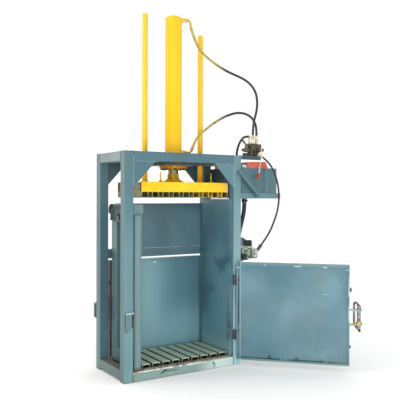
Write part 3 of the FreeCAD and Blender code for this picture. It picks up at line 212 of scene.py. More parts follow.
DUST = (150, 150, 138)
BLACK = (0, 0, 0, 1)
NO_COAT = (0, 0.03)
PLAIN = {"depth": 0.0004, "radius": 0.0015, "strength": 0.35, "coat": NO_COAT}
print("mid grey is", [round(v, 3) for v in shade(128, 128, 128)])

# %% A finish under construction
class Finish:
    """One material.  node() adds any node; the other methods are the patterns used all over."""

    def __init__(self, name, tone=BLACK, rough=0.5, **look):
        self.name = name
        self.material = bpy.data.materials.new(name + "_finish")
        self.material.use_nodes = True
        self.tree = self.material.node_tree
        self.shader = self.tree.nodes["Principled BSDF"]
        self.place = self.node("ShaderNodeTexCoord", out="Object")
        self.axes = {}
        self.tone, self.rough, self.relief, self.look = tone, rough, 0, look

    def feed(self, node, inputs):
        """Plain values and flows into a node's sockets."""
        for key, value in inputs.items():
            if isinstance(value, Flow):
                self.tree.links.new(value.socket, node.inputs[key])
            else:
                node.inputs[key].default_value = value

    def node(self, kind, inputs=None, out=0, **settings):
        added = self.tree.nodes.new(kind)
        for key, value in settings.items():
            setattr(added, key, value)
        self.feed(added, inputs or {})
        return Flow(self, added.outputs[out])

    def set(self, **sockets):
        """What goes into the shader, with _ for the spaces in a socket's name."""
        self.feed(self.shader, {key.replace("_", " "): value for key, value in sockets.items()})

    def over(self, tone, share, duller=0, height=0):
        """One more layer where share is 1: its colour, how much duller it is and how high it stands."""
        inputs = {0: share, 6: self.tone, 7: shade(*tone) if len(tone) == 3 else tone}
        self.tone = self.node("ShaderNodeMix", inputs, out=2, data_type="RGBA", clamp_factor=True)
        if duller:
            self.rough = share * duller + self.rough
        if height:
            self.relief = share * height + self.relief
        return share

    def done(self, *wearers, **changed):
        """Wire the layers to the shader, and dress the nodes that wear the finish."""
        look = {**PLAIN, **self.look, **changed}
        coat = look.pop("coat")
        height = self.relief if isinstance(self.relief, Flow) else self.noise(300)
        inputs = {"Height": height, "Distance": look.pop("depth"), "Strength": look.pop("strength"),
                  "Normal": self.rounded(look.pop("radius"))}
        self.set(Base_Color=self.tone, Roughness=self.rough, Normal=self.node("ShaderNodeBump", inputs),
                 Coat_Weight=coat[0], Coat_Roughness=coat[1], **look)
        finishes[self.name] = self
        for name in wearers:
            wear(nodes[name], self.name)

    def noise(self, scale, detail=3, stretch=None, shift=(0, 0, 0), twist=0):
        """Cloudy noise.  stretch: how much finer it is along each axis."""
        place = self.place
        if stretch:
            place = self.node("ShaderNodeMapping", {"Vector": place, "Scale": stretch, "Location": shift})
        inputs = {"Vector": place, "Scale": scale, "Detail": detail, "Distortion": twist}
        return self.node("ShaderNodeTexNoise", inputs)

    def patches(self, scale, low, high, detail=3):
        """Noise cut to patches: 0 where it is below low, 1 above high."""
        return self.noise(scale, detail).ramp(low, high)

    def cells(self, scale):
        return self.node("ShaderNodeTexVoronoi", {"Vector": self.place, "Scale": scale})

    def axis(self, name):
        """The place along one axis, in metres."""
        if name not in self.axes:
            self.axes[name] = self.node("ShaderNodeSeparateXYZ", {0: self.place}, name)
        return self.axes[name]

    def x(self, low, high):
        """0 where x is below low, 1 above high; the other way round if low is the larger."""
        return self.axis("X").ramp(low, high)

    def y(self, low, high):
        return self.axis("Y").ramp(low, high)

    def z(self, low, high):
        return self.axis("Z").ramp(low, high)

    def facing(self, name):
        """How much the face looks along an axis, from -1 to 1."""
        normal = self.node("ShaderNodeTexCoord", out="Normal")
        return self.node("ShaderNodeSeparateXYZ", {0: normal}, name)

    def left_faces(self):
        return self.facing("X").ramp(-0.6, -0.9)

    def front_faces(self):
        return self.facing("Y").ramp(-0.6, -0.9)

    def undersides(self):
        return self.facing("Z").ramp(-0.6, -0.9)

    def between(self, name, low, high, soft):
        """1 between two places along an axis."""
        return self.axis(name).band(low, high, soft)

    def near(self, place, reach):
        """1 at a place, 0 further off than reach."""
        far = self.node("ShaderNodeVectorMath", {0: self.place, 1: place}, "Value", operation="DISTANCE")
        return far.ramp(reach, reach * 0.3)

    def edges(self, width):
        """1 on sharp edges, fading over width."""
        inputs = {0: self.rounded(width), 1: self.node("ShaderNodeNewGeometry", out="Normal")}
        alike = self.node("ShaderNodeVectorMath", inputs, "Value", operation="DOT_PRODUCT")
        return (1 - alike).ramp(0.02, 0.35)

    def corners(self, reach):
        """1 in inner corners and gaps narrower than reach, 0 in the open."""
        return 1 - self.node("ShaderNodeAmbientOcclusion", {"Distance": reach}, "AO", samples=6)

    def rounded(self, radius):
        """Normals that turn softly over each edge."""
        return self.node("ShaderNodeBevel", {"Radius": radius}, samples=6)


def wear(piece, finish):
    piece.data.materials.clear()
    piece.data.materials.append(finishes[finish].material)


finishes = {}
print("patterns:", [name for name in vars(Finish) if not name.startswith("_")])

# %% [markdown]
# ## Machine paint
# The frame is sprayed with one thick coat of blue-green machine enamel straight on the mill steel.  Such
# a coat is never one colour: it lies thinner on edges, runs a little down tall sheets, and is darker in
# its corners, partly dusty and partly painted shade.  Some pieces also get a lighter tone towards the
# floor and a tone of their own on faces that look left, painted light and shade.  On top come scratches,
# pale rubbed edges and a few specks of rust.  Each of these is a mask, and the masks are shared by all
# the painted pieces.

# %% Enamel
FOOT_FADE = (1.55, 0.2)
CORNER_REACH = 0.035
EDGE_WIDTH = 0.0022
COAT = (0.12, 0.14)
THIN_COAT = (0.1, 0.2)
PANEL_COAT = (0.15, 0.14)
RUST = (128, 92, 66)
EARTH = (122, 112, 88)


def spray(f, deep, pale, patch, contrast):
    """Where the spray gun dwelt or hurried, and where the coat ran."""
    cloud = f.noise(patch, detail=2, stretch=(1, 1, 0.7))
    runs = f.noise(5, stretch=(5, 5, 0.35))
    f.over(deep, cloud.ramp(0.52, 0.26) * (0.75 * contrast))
    f.over(pale, cloud.ramp(0.52, 0.78) * (0.6 * contrast))
    f.over(deep, runs.ramp(0.55, 0.85) * (0.35 * contrast))


def use(f, pale, wear, rust, dust):
    """Dusty, darker corners that are partly painted shade, rubbed edges, scratches and specks of rust."""
    # Dark in corners and gaps: partly dusty, partly painted shade.
    corner = f.corners(CORNER_REACH).ramp(0.25, 0.85)
    f.over((44, 50, 48), corner * f.patches(20, 0.25, 0.65, detail=5) * dust, duller=0.35)
    edge = f.edges(EDGE_WIDTH)
    f.over((176, 190, 184), edge * f.patches(70, 0.38, 0.62) * wear, height=-0.4)
    hair = f.noise(9, detail=1, stretch=(9, 9, 1.6), twist=0.4) - 0.5
    scratch = (hair * hair).ramp(0.00006, 0) * f.patches(7, 0.6, 0.72, detail=2)
    f.over(pale, scratch * 0.7, height=-0.8)
    specks = f.cells(120).ramp(0.1, 0.03) * f.patches(6, 0.58, 0.72, detail=2)
    rusty = (specks + edge * f.patches(26, 0.6, 0.7, detail=4)).clipped()
    f.over((120, 82, 52), rusty * rust, duller=0.4, height=0.5)


def enamel(name, main, foot=None, left=None, patch=2.2, contrast=1, wear=0.5, rust=0.35, dust=0.5,
           rough=0.36):
    """Sprayed enamel, still open for more layers.  foot: a lighter tone towards the floor, painted light;
    left: a painted light or shade tone on left faces.
    """
    main = shade(*main)
    pale = blended(main, shade(*DUST), 0.45)
    f = Finish(name, main, rough, coat=COAT)
    # Painted light from the floor: lighter towards the bottom.
    if foot:
        f.over(foot, f.z(*FOOT_FADE))
    # Painted light or shade on the faces that look left.
    if left:
        f.over(left, f.left_faces())
    spray(f, blended(main, BLACK, 0.4), pale, patch, contrast)
    fine = f.noise(46, detail=4)
    f.over(pale, fine.ramp(0.55, 0.8) * 0.18)
    use(f, pale, wear, rust, dust)
    f.relief = f.relief + f.noise(420, detail=2) * 0.3 + f.noise(90, detail=2) * 0.5
    f.rough = f.rough + fine * 0.1
    return f


def enamelled(name, main, *wearers, **options):
    enamel(name, main, **options).done(*wearers)


enamelled("teal", (92, 130, 140), *nodes)
enamelled("bright_seam", (164, 182, 182), wear=0.2)
print(sorted(finishes), "sockets:", [s.name for s in finishes["teal"].shader.inputs][:6])

# %% [markdown]
# ### Posts
# The front posts get marks of their own, each where it is on the machine.  They have rusty feet where
# water stands, and a brown stain beside the weld to the base beam.  The left one carries the keeper of
# the door's lock and the shadow it casts.  The right one is chipped beside the hinges.

# %% Marks on the posts
KEEPER_LOW, KEEPER_HIGH = 0.394, 0.486
JOINT_X = 0.432
SHADOW = (44, 48, 60)


def keeper_marks(f, front):
    """Painted shade in the keeper's throat, and its painted shadow below and beside it."""
    f.over(SHADOW, front * f.between("X", -0.462, -0.425, 0.002)
           * f.between("Z", KEEPER_LOW, KEEPER_HIGH, 0.003) * 0.95, duller=0.2)
    f.over((48, 80, 88), front * f.between("X", -0.511, -0.495, 0.003)
           * f.between("Z", 0.366, 0.484, 0.012) * 0.7)
    f.over((70, 88, 100), front * f.between("X", -0.505, -0.47, 0.008)
           * f.between("Z", 0.355, 0.381, 0.006) * 0.7)


def hinge_marks(f, front):
    """Pale chips on the hinge side, and the dark line of the joint behind the knuckles."""
    hinge_side = f.between("X", 0.408, 0.452, 0.004) * f.between("Z", 0.18, 0.75, 0.02)
    f.over((176, 198, 202), hinge_side * f.cells(95).ramp(0.3, 0.14) * f.patches(9, 0.44, 0.54) * 0.9,
           height=0.5)
    joint_line = f.between("X", 0.4445, 0.4505, 0.0015) * f.between("Z", 0.22, 0.74, 0.02)
    f.over((40, 58, 68), front * joint_line * f.patches(14, 0.34, 0.46) * 0.85)


def post_paint(name, main, foot, left, joint, marks, *wearers):
    """Post enamel with a rusty foot and a stained joint at x = joint."""
    f = enamel(name, main, foot, left, patch=1.4, contrast=0.7)
    mottle = f.noise(60, detail=4)
    f.over(RUST, f.z(0.022, 0) * mottle.ramp(0.42, 0.6) * 0.8, duller=0.3)
    stain = (f.between("X", joint - 0.007, joint + 0.007, 0.004) * f.between("Z", 0, 0.085, 0.01)
             * f.between("Y", -0.26, -0.235, 0.01))
    f.over(RUST, stain * mottle.ramp(0.35, 0.55) * 0.8, duller=0.3)
    front = f.front_faces()
    if name == "post_right":
        # Painted light from the floor on the lower front faces.
        f.over((164, 204, 208), front * f.z(0.66, 0.3) * 0.9)
    marks(f, front)
    f.done(*wearers)


# Each foot tone is painted light from the floor; each left tone is painted light or shade on left faces.
post_paint("post_left", (68, 104, 114), (106, 151, 154), (80, 108, 113), -JOINT_X, keeper_marks,
           "post_front_left")
post_paint("post_right", (98, 134, 142), (138, 180, 186), (96, 128, 136), JOINT_X, hinge_marks,
           "post_front_right")
post_paint("post_rear", (70, 101, 110), (74, 106, 116), (80, 110, 114), JOINT_X, hinge_marks,
           "post_rear_left", "post_rear_right", "beam_rear_middle")
print([name for name in finishes if "post" in name])

# %% [markdown]
# ### Beams
# The base beams are rubbed bright where bales and straps slide over them, and earth lies on top.

# %% Top beams, gussets and crown
# Painted light on the left faces, and painted shade on the undersides.
f = enamel("beam_top", (68, 105, 115), left=(110, 136, 138), contrast=0.8)
f.over((34, 46, 52), f.undersides() * 0.9)
f.done("beam_top_front", "beam_top_rear")
# A lighter, greyer copy of the beam paint: painted light on the side beams' left faces.
enamelled("beam_side", (118, 136, 136), "beam_top_left", "beam_top_right", contrast=0.8, wear=0.8)

f = enamel("gusset", (64, 101, 111), contrast=0.6, wear=0.7)
f.over((82, 122, 132), f.x(-0.1, 0.2))
f.done("corner_gussets")
# A much darker copy of the frame paint: painted shade in the crown.
enamelled("crown", (46, 62, 68), "crown_channels", "seat_plate", dust=0.8)

f = enamel("bracket", (88, 126, 134), contrast=0.6, wear=0.9)
# Painted shade in corners and under the braces.
f.over((40, 60, 68), f.corners(0.06).ramp(0.22, 0.62) * 0.75)
f.done("tank_shelf", "motor_bracket")
print(sorted(finishes))

# %% Base beams
f = enamel("beam_base", (122, 150, 143), patch=3, contrast=0.8, wear=0.7, rust=0.6)
wavy = f.axis("Z") + (f.noise(10) - 0.5) * 0.022
upper_edge = wavy.ramp(0.06, 0.064) * f.y(-0.2415, -0.2455)
ragged = f.noise(9, detail=4, stretch=(3, 1, 4)).ramp(0.36, 0.5)
more_to_the_left = f.x(0.4, -0.1) * 0.7 + 0.3
f.over(EARTH, f.z(0.066, 0.069) * f.patches(24, 0.3, 0.55, detail=4) * 0.8, duller=0.3)
f.over((226, 226, 216), upper_edge * ragged * more_to_the_left, height=-0.4)
f.over((198, 216, 212), f.x(0.06, 0.3) * f.front_faces() * 0.85)
f.over(RUST, f.x(-0.42, -0.43) * f.patches(70, 0.4, 0.56) * 0.7, duller=0.3)
f.over(RUST, f.z(0.01, 0) * f.patches(40, 0.44, 0.6, detail=4) * 0.7, duller=0.3)
f.done("beam_bottom_front", "beam_bottom_rear", "floor_bearer", coat=(0.1, 0.16))

f = enamel("beam_base_side", (78, 102, 102), patch=3, contrast=0.8, wear=0.9, rust=0.7)
f.over((92, 88, 68), f.z(0.079, 0.082) * f.patches(18, 0.24, 0.5, detail=4) * 0.9, duller=0.3)
f.done("beam_bottom_left", "beam_bottom_right", coat=(0.08, 0.18))
print("base beams done")

# %% [markdown]
# ## Chamber sheets
# The sheets are large and smooth, so their paint shows broad soft clouds from the spray fan, a seam here
# and there, and pale chips where bales scrape by.

# %% Rear panel
def chips(f, scale, amount, tone=(190, 200, 196)):
    """Small pale chips, in groups."""
    f.over(tone, f.cells(scale).ramp(0.09, 0.04) * f.patches(5, 0.56, 0.66, detail=2) * amount, height=-0.6)


SEAM_Z = 0.899

f = enamel("rear_panel", (79, 114, 127), patch=2.4)
f.over((60, 82, 92), f.z(1.17, 1.25) * 0.6)
f.over((168, 186, 188), f.between("Z", SEAM_Z, SEAM_Z + 0.003, 0.0015)
       * f.patches(6, 0.44, 0.5, detail=2) * 0.8)
f.over((60, 66, 60), f.between("Z", SEAM_Z - 0.004, SEAM_Z - 0.001, 0.001) * 0.4)
f.over(DUST, f.between("X", 0.25, 0.4, 0.02) * f.near((0.385, 0.209, 0.92), 0.1)
       * f.cells(90).ramp(0.3, 0.1) * 0.7)
chips(f, 60, 0.5)
f.done("rear_panel", coat=PANEL_COAT)
print("panel:", len(f.tree.nodes), "nodes")

# %% Rear door, in three broad bands of painted reflection, light and dark
# foot: painted light from the floor.
f = enamel("rear_door_sheet", (92, 135, 145), foot=(118, 164, 174), patch=2, contrast=0.5, rust=0.05)
wander = f.noise(1.1, detail=2, stretch=(1, 1, 0.9)) * 0.5 - 0.25
sideways = f.axis("X") + wander
f.over((74, 120, 134), sideways.ramp(0, 0.1) * f.z(0.2, 0.45) * 0.45)
f.over((136, 168, 172), sideways.ramp(-0.14, -0.06) * sideways.ramp(0.02, -0.04) * 0.35)
f.over((70, 108, 122), sideways.ramp(-0.22, -0.36) * f.z(0.4, 0.7) * 0.4)
# Painted shade in the gap along the free edge.
f.over((34, 40, 42), f.x(-0.352, -0.358) * f.facing("Y").ramp(0.6, 0.3), duller=0.2)
f.over((224, 232, 230), f.near((0.01, 0.262, 0.779), 0.01) + f.near((0.024, 0.262, 0.776), 0.006))
f.over((40, 84, 98), sideways.ramp(0.06, 0.26) * f.z(0.3, 0.55) * 0.4)
f.over((104, 84, 72), f.near((0.405, 0.254, 0.26), 0.014) * 0.6)
chips(f, 45, 0.4)
f.done("rear_door", coat=(0.18, 0.12))
print("rear door:", len(f.tree.nodes), "nodes")

# %% Right wall, with a broken dark line near the front and chips along the back
FRONT_LINE_Y = -0.206

# foot: painted light from the floor.
f = enamel("right_wall_sheet", (80, 123, 137), foot=(86, 133, 150), contrast=1.2, dust=0.3)
f.over((108, 140, 144), f.z(1.15, 1.28) * 0.45)
f.over((158, 178, 180), f.between("Z", 0.83, 0.833, 0.0015) * f.y(0.02, 0.06) * 0.5)
# A broken dark line near the front edge.
f.over((30, 50, 60), f.between("Y", FRONT_LINE_Y, FRONT_LINE_Y + 0.009, 0.002) * f.between("Z", 0.1, 0.5, 0.01)
       * f.patches(20, 0.36, 0.46, detail=2) * 0.9, height=-0.5)
f.over((170, 190, 192), f.between("Y", FRONT_LINE_Y - 0.009, FRONT_LINE_Y - 0.003, 0.002)
       * f.between("Z", 0.1, 0.62, 0.01) * f.cells(60).ramp(0.34, 0.2) * 0.8)
smoke = f.noise(3.2, stretch=(1, 1, 0.8), shift=(0, 1.7, 0.4), twist=0.6)
f.over((44, 74, 92), smoke.ramp(0.52, 0.66) * f.z(1.1, 0.8) * 0.75)
slanted = f.axis("Y") + f.noise(2.2) * 0.5 - 0.25
f.over((40, 72, 84), slanted.ramp(-0.04, 0.14) * f.between("Z", 0.34, 0.86, 0.1) * 0.6)
# More painted light from the floor at the very bottom.
f.over((124, 160, 162), f.z(0.24, 0.12) * 0.7)
f.over((206, 214, 210), f.y(0.172, 0.182) * f.between("Z", 0.74, 0.98, 0.03)
       * f.cells(70).ramp(0.22, 0.12) * 0.9)
chips(f, 50, 0.5)
f.done("right_wall", coat=PANEL_COAT)
print("right wall:", len(f.tree.nodes), "nodes")

# %% Left wall and its rail
# left: painted shade on the left faces.
f = enamel("left_wall_sheet", (92, 124, 130), left=(70, 98, 108), contrast=0.7, dust=0.6, rust=0.15)
left, front = f.left_faces(), f.front_faces()
# Painted shade on the inner left faces.
f.over((36, 58, 70), left * f.x(-0.374, -0.366) * 0.95)
f.over((124, 144, 138), left * f.x(-0.385, -0.392) * f.z(0.86, 0.94) * f.y(0, 0.08) * 0.8)
f.over((104, 132, 132), front * f.x(-0.4, -0.385) * 0.8)
f.over((40, 46, 44), front * f.x(-0.402, -0.406) * 0.5)
f.over((98, 78, 58), f.z(0.1, 0.076) * front * 0.9, duller=0.3)
f.done("left_wall", coat=(0.12, 0.16))

# left: painted shade on the left faces.
f = enamel("left_rail", (80, 112, 118), left=(50, 68, 68), wear=1.2, dust=0.8)
left = f.left_faces()
# Painted shade at the foot of the front face.
f.over((24, 32, 34), f.front_faces() * f.z(1.141, 1.136) * 0.9)
f.over((132, 152, 150), left * f.z(1.24, 1.244) * 0.8)
# Painted shade in the rail's hollow left end.
f.over((26, 32, 34), left * f.z(1.205, 1.222) * f.patches(9, 0.34, 0.5) * 0.9)
f.over((34, 44, 40), left * f.patches(22, 0.52, 0.62) * 0.7)
# Painted shade on the undersides.
f.over((24, 30, 34), f.undersides() * 0.9)
f.done("left_wall_rail")
print("left wall and rail done")

# %% [markdown]
# ### The floor
# The worn paint on the nine floor bars is greyer and greener.  Their long edges are dark and dirty, and
# their flanks and the slots between them are painted shade.  The distance from the middle of a bar comes
# from folding x back and forth over half the pitch.

# %% Floor bars and the sheet under them
BAR_PITCH = 0.083

f = enamel("floor_bars", (168, 188, 166), patch=14, contrast=0.7, wear=0.9, rust=0.3, dust=0.9)
rubbed = f.noise(26, detail=4, stretch=(3, 0.6, 1))
f.over((168, 176, 160), rubbed.ramp(0.52, 0.7) * f.z(0.099, 0.102) * 0.6)
off_middle = f.axis("X").sum_with("PINGPONG", f.axis("X") - MIDDLE_X, BAR_PITCH / 2)
f.over((58, 62, 46), off_middle.ramp(0.0285, 0.0325) * f.patches(30, 0.2, 0.45) * 0.85)
# Painted shade on the bars' flanks, in the slots between them.
flank = f.facing("X")
f.over((40, 40, 26), (flank * flank).ramp(0.3, 0.7) * f.z(0.101, 0.094) * 0.9, duller=0.3)
# Painted shade low in the slots.
f.over((30, 28, 16), f.z(0.097, 0.092) * f.corners(0.03).ramp(0.1, 0.5) * 0.9, duller=0.3)
f.done("floor_bars", coat=NO_COAT)

# Very dark: dirty, and painted shade in the slots between the bars.
f = enamel("floor_sheet", (38, 38, 28), patch=16, rust=0.9, dust=0.9, rough=0.6)
f.over((178, 170, 146), f.y(-0.2, -0.206) * f.patches(40, 0.3, 0.6, detail=5) * 0.85, duller=0.1)
f.over(RUST, f.patches(16, 0.55, 0.7, detail=5) * 0.6, duller=0.2)
f.done("floor_plate", coat=NO_COAT)
print("floor done")

# %% [markdown]
# ## The open door
# The door shows its inside, the sheet that bales rub against.  Its folded top edge has a painted highlight
# and is chipped to the metal, its bottom strip is scuffed and rusty, and thin runs of paint stand in the
# lower half.
# The marks are placed by their distance from the hinge and their height.  The door stands open at 135
# degrees, so that distance is a sum of x and y.

# %% Door paint
DIAGONAL = 0.70711
PIN_ALONG = 0.4921
TOP_CHIPS = ((0.235, 0.787, 0.012), (0.474, 0.784, 0.022), (0.5, 0.786, 0.01), (0.685, 0.782, 0.02))
PALE_MARKS = (((160, 182, 186), 0.685, 0.58, 0.03, 0.002), ((190, 206, 206), 0.022, 0.765, 0.024, 0.004),
              ((190, 206, 206), 0.85, 0.768, 0.02, 0.003))
KNOTS = ((0.27, 0.088), (0.474, 0.082), (0.655, 0.078))

f = enamel("door_sheet", (82, 121, 133), rough=0.5, patch=1.6, contrast=0.7, wear=0.6)
from_hinge = (f.axis("X") - f.axis("Y")) * DIAGONAL - PIN_ALONG


def dash(along, height, half_length, half_height):
    """1 on a short mark along the door."""
    in_length = from_hinge.band(along - half_length * 0.75, along + half_length * 0.75, half_length * 0.25)
    return in_length * f.between("Z", height - half_height, height + half_height, 0.002)


fan = f.noise(2.6, detail=2, stretch=(1, 1, 1.2), shift=(0.4, 0, 0.9), twist=0.25)
f.over((66, 104, 116), fan.ramp(0.52, 0.34) * 0.5)
f.over((112, 148, 158), fan.ramp(0.5, 0.68) * 0.5)
# Painted highlight along the folded top edge.
f.over((122, 156, 160), f.z(0.78, 0.788) * 0.35)
f.over((132, 140, 126), f.z(0.797, 0.804) * f.patches(14, 0.4, 0.6) * 0.5)
for along, height, half_length in TOP_CHIPS:
    f.over((232, 238, 236), dash(along, height, half_length, 0.0022) * 0.9, height=-0.5)
for tone, along, height, half_length, half_height in PALE_MARKS:
    f.over(tone, dash(along, height, half_length, half_height) * 0.7)
print("door top:", len(f.tree.nodes), "nodes")

# %% The door's lower half and its edges
drips = f.noise(16, detail=2, stretch=(3, 3, 0.25))
f.over((120, 150, 156), drips.ramp(0.62, 0.74) * f.between("Z", 0.1, 0.36, 0.05) * 0.35, height=0.4)
f.over((98, 136, 130), f.z(0.074, 0.069) * 0.8)
line = f.between("Z", 0.072, 0.08, 0.002) * f.patches(12, 0.34, 0.48)
f.over((40, 46, 54), line * 0.9, duller=0.2)
f.over((132, 112, 44), line * from_hinge.ramp(0.7, 0.78) * from_hinge.ramp(0.875, 0.855), duller=0.2)
f.over((96, 142, 134), from_hinge.ramp(0.866, 0.874) * 0.8)
f.over((196, 216, 214), f.between("Z", 0.4, 0.7, 0.05) * from_hinge.band(0.855, 0.864, 0.002)
       * f.patches(9, 0.44, 0.54, detail=2) * 0.7)
for along, height in KNOTS:
    spot = f.near((PIN_X + along * DIAGONAL, PIN_Y - along * DIAGONAL, height), 0.024)
    f.over((66, 58, 46), spot * f.patches(60, 0.3, 0.5), duller=0.3)
f.over((44, 62, 76), from_hinge.band(0.028, 0.038, 0.002) * f.z(0.24, 0.3)
       * f.patches(10, 0.34, 0.46, detail=2) * 0.85)
f.over((168, 190, 194), from_hinge.band(0.042, 0.05, 0.002) * 0.35)
chips(f, 40, 0.5)
f.done("front_door", coat=(0.04, 0.3), Specular_IOR_Level=0.3)
print("door sheet:", len(f.tree.nodes), "nodes")

# %% Door iron, hinges and keepers
enamelled("door_outside_iron", (92, 120, 128), "rear_door_fittings", wear=0.8, rust=0.5, dust=0.7)
enamelled("primer", (46, 42, 54), "hinge_knuckles", patch=20, wear=0.15, rust=0, dust=0.8)

f = enamel("door_iron", (150, 172, 164), patch=20, wear=0.6, rust=0.4, dust=0.6)
f.over((176, 168, 100), f.z(0.376, 0.37) * 0.8)
f.over((56, 66, 68), f.z(0.52, 0.56) + f.z(0.3, 0.26))
f.over((52, 46, 56), f.x(0.6, 0.56))
f.done("front_door_fittings", coat=THIN_COAT)

f = enamel("keeper_paint", (84, 116, 120), wear=1)
# Painted highlight on the top flange.
f.over((190, 204, 204), f.z(0.486, 0.492) * 0.7)
# Painted shade in the throat.
f.over((40, 42, 54), f.x(-0.458, -0.455) * f.between("Z", KEEPER_LOW, KEEPER_HIGH, 0.003), duller=0.2)
f.over((128, 142, 120), f.between("X", -0.463, -0.457, 0.002) * 0.5)
f.over((110, 118, 106), f.y(0.2, 0.25) * 0.6)
f.done("door_keepers")
print("door iron done")

# %% [markdown]
# ## Tank, valve plate and motor
# The tank is the frame's colour, with a painted dark band and a painted highlight on its front.  Its cover
# is red with a paler fold.

# %% Tank and motor
# left: painted shade on the left faces.
f = enamel("tank_sheet", (76, 111, 119), left=(52, 74, 88), patch=3, contrast=0.9)
front = f.front_faces()
# A painted dark band and a painted highlight beside it.
f.over((54, 88, 98), front * f.between("X", 0.712, 0.738, 0.008) * 0.7)
f.over((98, 132, 136), front * f.between("X", 0.752, 0.764, 0.006) * 0.6)
f.done("oil_tank")

f = enamel("red_cover", (216, 84, 62), patch=8, rust=0.05, wear=0.2, dust=0.3)
f.over((232, 128, 104), f.z(1.548, 1.542) * 0.6)
f.over((196, 60, 44), f.z(1.572, 1.578) * 0.5)
f.done("tank_cover", coat=THIN_COAT)

f = enamel("valve_plate", (44, 70, 76), contrast=0.6, dust=0.9)
f.over((64, 60, 50), f.z(1.632, 1.636) * 0.95, duller=0.2)
f.done("valve_bracket", coat=THIN_COAT)

f = enamel("motor_grey", (112, 112, 126), patch=9, rust=0.1)
f.over((22, 26, 24), f.y(-0.03, -0.032) * f.x(0.66, 0.675), duller=0.2)
f.over((30, 40, 52), f.x(0.6, 0.585) * f.z(0.9, 0.93) * 0.8)
f.done("motor", coat=THIN_COAT)
enamelled("box_black", (40, 42, 46), "terminal_box", patch=9, rust=0.1)
print(sorted(finishes))

# %% [markdown]
# ## Yellow gloss
# The press itself is sprayed a strong yellow.  Yellow pigment covers badly, so the coat runs to orange
# in streaks.  In its corners it turns orange and darker, painted shade with some soiling, and its faces
# that look right are a painted deeper shade.  What stands inside the crown is darker and browner.

# %% Yellow
YELLOW = (245, 190, 34)
ORANGE = (236, 160, 20)
GLOSS = {"depth": 0.0003, "strength": 0.3, "Specular_IOR_Level": 0.12}


def yellow_gloss(name, corner_dirt_and_shade=0.35, wear=0.3):
    """Yellow machine gloss, still open for more layers."""
    f = Finish(name, shade(*YELLOW), 0.33, **GLOSS)
    cloud = f.noise(3, detail=2, stretch=(2, 2, 0.5))
    bands = f.noise(11, detail=2, stretch=(6, 6, 0.25))
    f.over((247, 197, 44), cloud.ramp(0.35, 0.62))
    f.over(ORANGE, bands.ramp(0.56, 0.8) * 0.4)
    corner = f.corners(0.045)
    # Painted shade: orange and darker in the corners.
    f.over((222, 146, 20), corner.ramp(0.12, 0.65) * 0.75)
    # Soiling and painted shade deep in the corners.
    f.over((110, 84, 30), corner.ramp(0.35, 0.9) * f.patches(24, 0.35, 0.62, detail=4) * corner_dirt_and_shade, duller=0.4)
    f.over((196, 180, 120), f.edges(0.002) * f.patches(60, 0.46, 0.62) * wear)
    f.relief = f.noise(380, detail=2) * 0.6 + f.noise(80, detail=2)
    return f


f = yellow_gloss("yellow")
# Painted shade: the faces that look right go deeper and more orange.
f.over((236, 180, 0), f.facing("X").ramp(0.35, 0.95) * 0.8)
f.done("cylinder_barrel", "rod_seat")

f = yellow_gloss("pin_yellow", corner_dirt_and_shade=0.8, wear=0.6)
f.over((120, 100, 30), f.patches(50, 0.3, 0.6) * 0.7)
f.done("platen_pins")

f = yellow_gloss("guide_yellow")
f.over((238, 194, 62), f.patches(8, 0.2, 0.6) * 0.7)
f.over((250, 184, 34), f.z(1.6, 1.52) * 0.9)
f.over((150, 104, 40), f.between("Z", 1.6, 1.66, 0.02) * f.patches(30, 0.45, 0.6) * 0.5)
f.done("guide_rods")
print("yellow:", len(finishes["yellow"].tree.nodes), "nodes")

# %% Platen, with its bare ends and the strap bars under it
f = yellow_gloss("platen_yellow")
f.over((196, 198, 178), f.x(0.386, 0.399) * f.patches(34, 0.34, 0.48) * 0.85, duller=0.1)
left_end = f.left_faces() * f.y(-0.196, -0.192)
f.over((112, 114, 104), left_end * f.patches(12, 0.2, 0.4) * 0.95, duller=0.1)
# Painted shade in the open end of the front channel.
f.over((16, 12, 8), left_end * f.y(-0.16, -0.164), duller=0.2)
f.over((112, 114, 104), f.y(0.1, 0.14) * f.x(-0.325, -0.335) * 0.95)
f.over((236, 190, 30), f.z(1.35, 1.343) * 0.6)
f.done("platen_frame")

f = enamel("platen_bars", (118, 124, 96), patch=16, wear=0.6, rust=0.5, dust=0.9, rough=0.5)
sprayed = f.noise(10, stretch=(2, 0.6, 1)).ramp(0.4, 0.58)
f.over((226, 186, 40), (sprayed * f.x(-0.05, 0.34)).clipped() * 0.85)
f.over((250, 208, 40), f.z(1.336, 1.34) * f.y(-0.19, -0.198))
# Painted shade in the hollows under the platen.
f.over((26, 20, 12), f.corners(0.05).ramp(0.3, 0.75) * f.z(1.301, 1.306) * 0.85, duller=0.2)
f.done("platen_bars", coat=NO_COAT)

f = yellow_gloss("boss_yellow", corner_dirt_and_shade=0.6)
streaks = f.noise(3, detail=2, stretch=(12, 12, 0.3))
f.over((228, 184, 24), f.z(1.432, 1.442) * 0.9)
f.over((64, 60, 30), f.z(1.436, 1.45) * streaks.ramp(0.62, 0.42) * 0.45)
f.done("rod_boss")

f = yellow_gloss("gland_yellow", corner_dirt_and_shade=0.8, wear=0.6)
f.over((150, 104, 34), f.patches(40, 0.32, 0.56, detail=4) * 0.85)
f.done("cylinder_gland")
print([name for name in finishes if "yellow" in name])

# %% [markdown]
# ## Bare and plated metals
# Few pieces are bare: the chromed piston rod, black bolts, zinc-plated hose ends with their straw tint,
# and the rubbed steel of the lock handles.  The castings of the pump and the valve sit between metal and
# paint, grimy with oil.

# %% Metals
METAL = {"depth": 0.0002, "radius": 0.0008, "strength": 0.3}


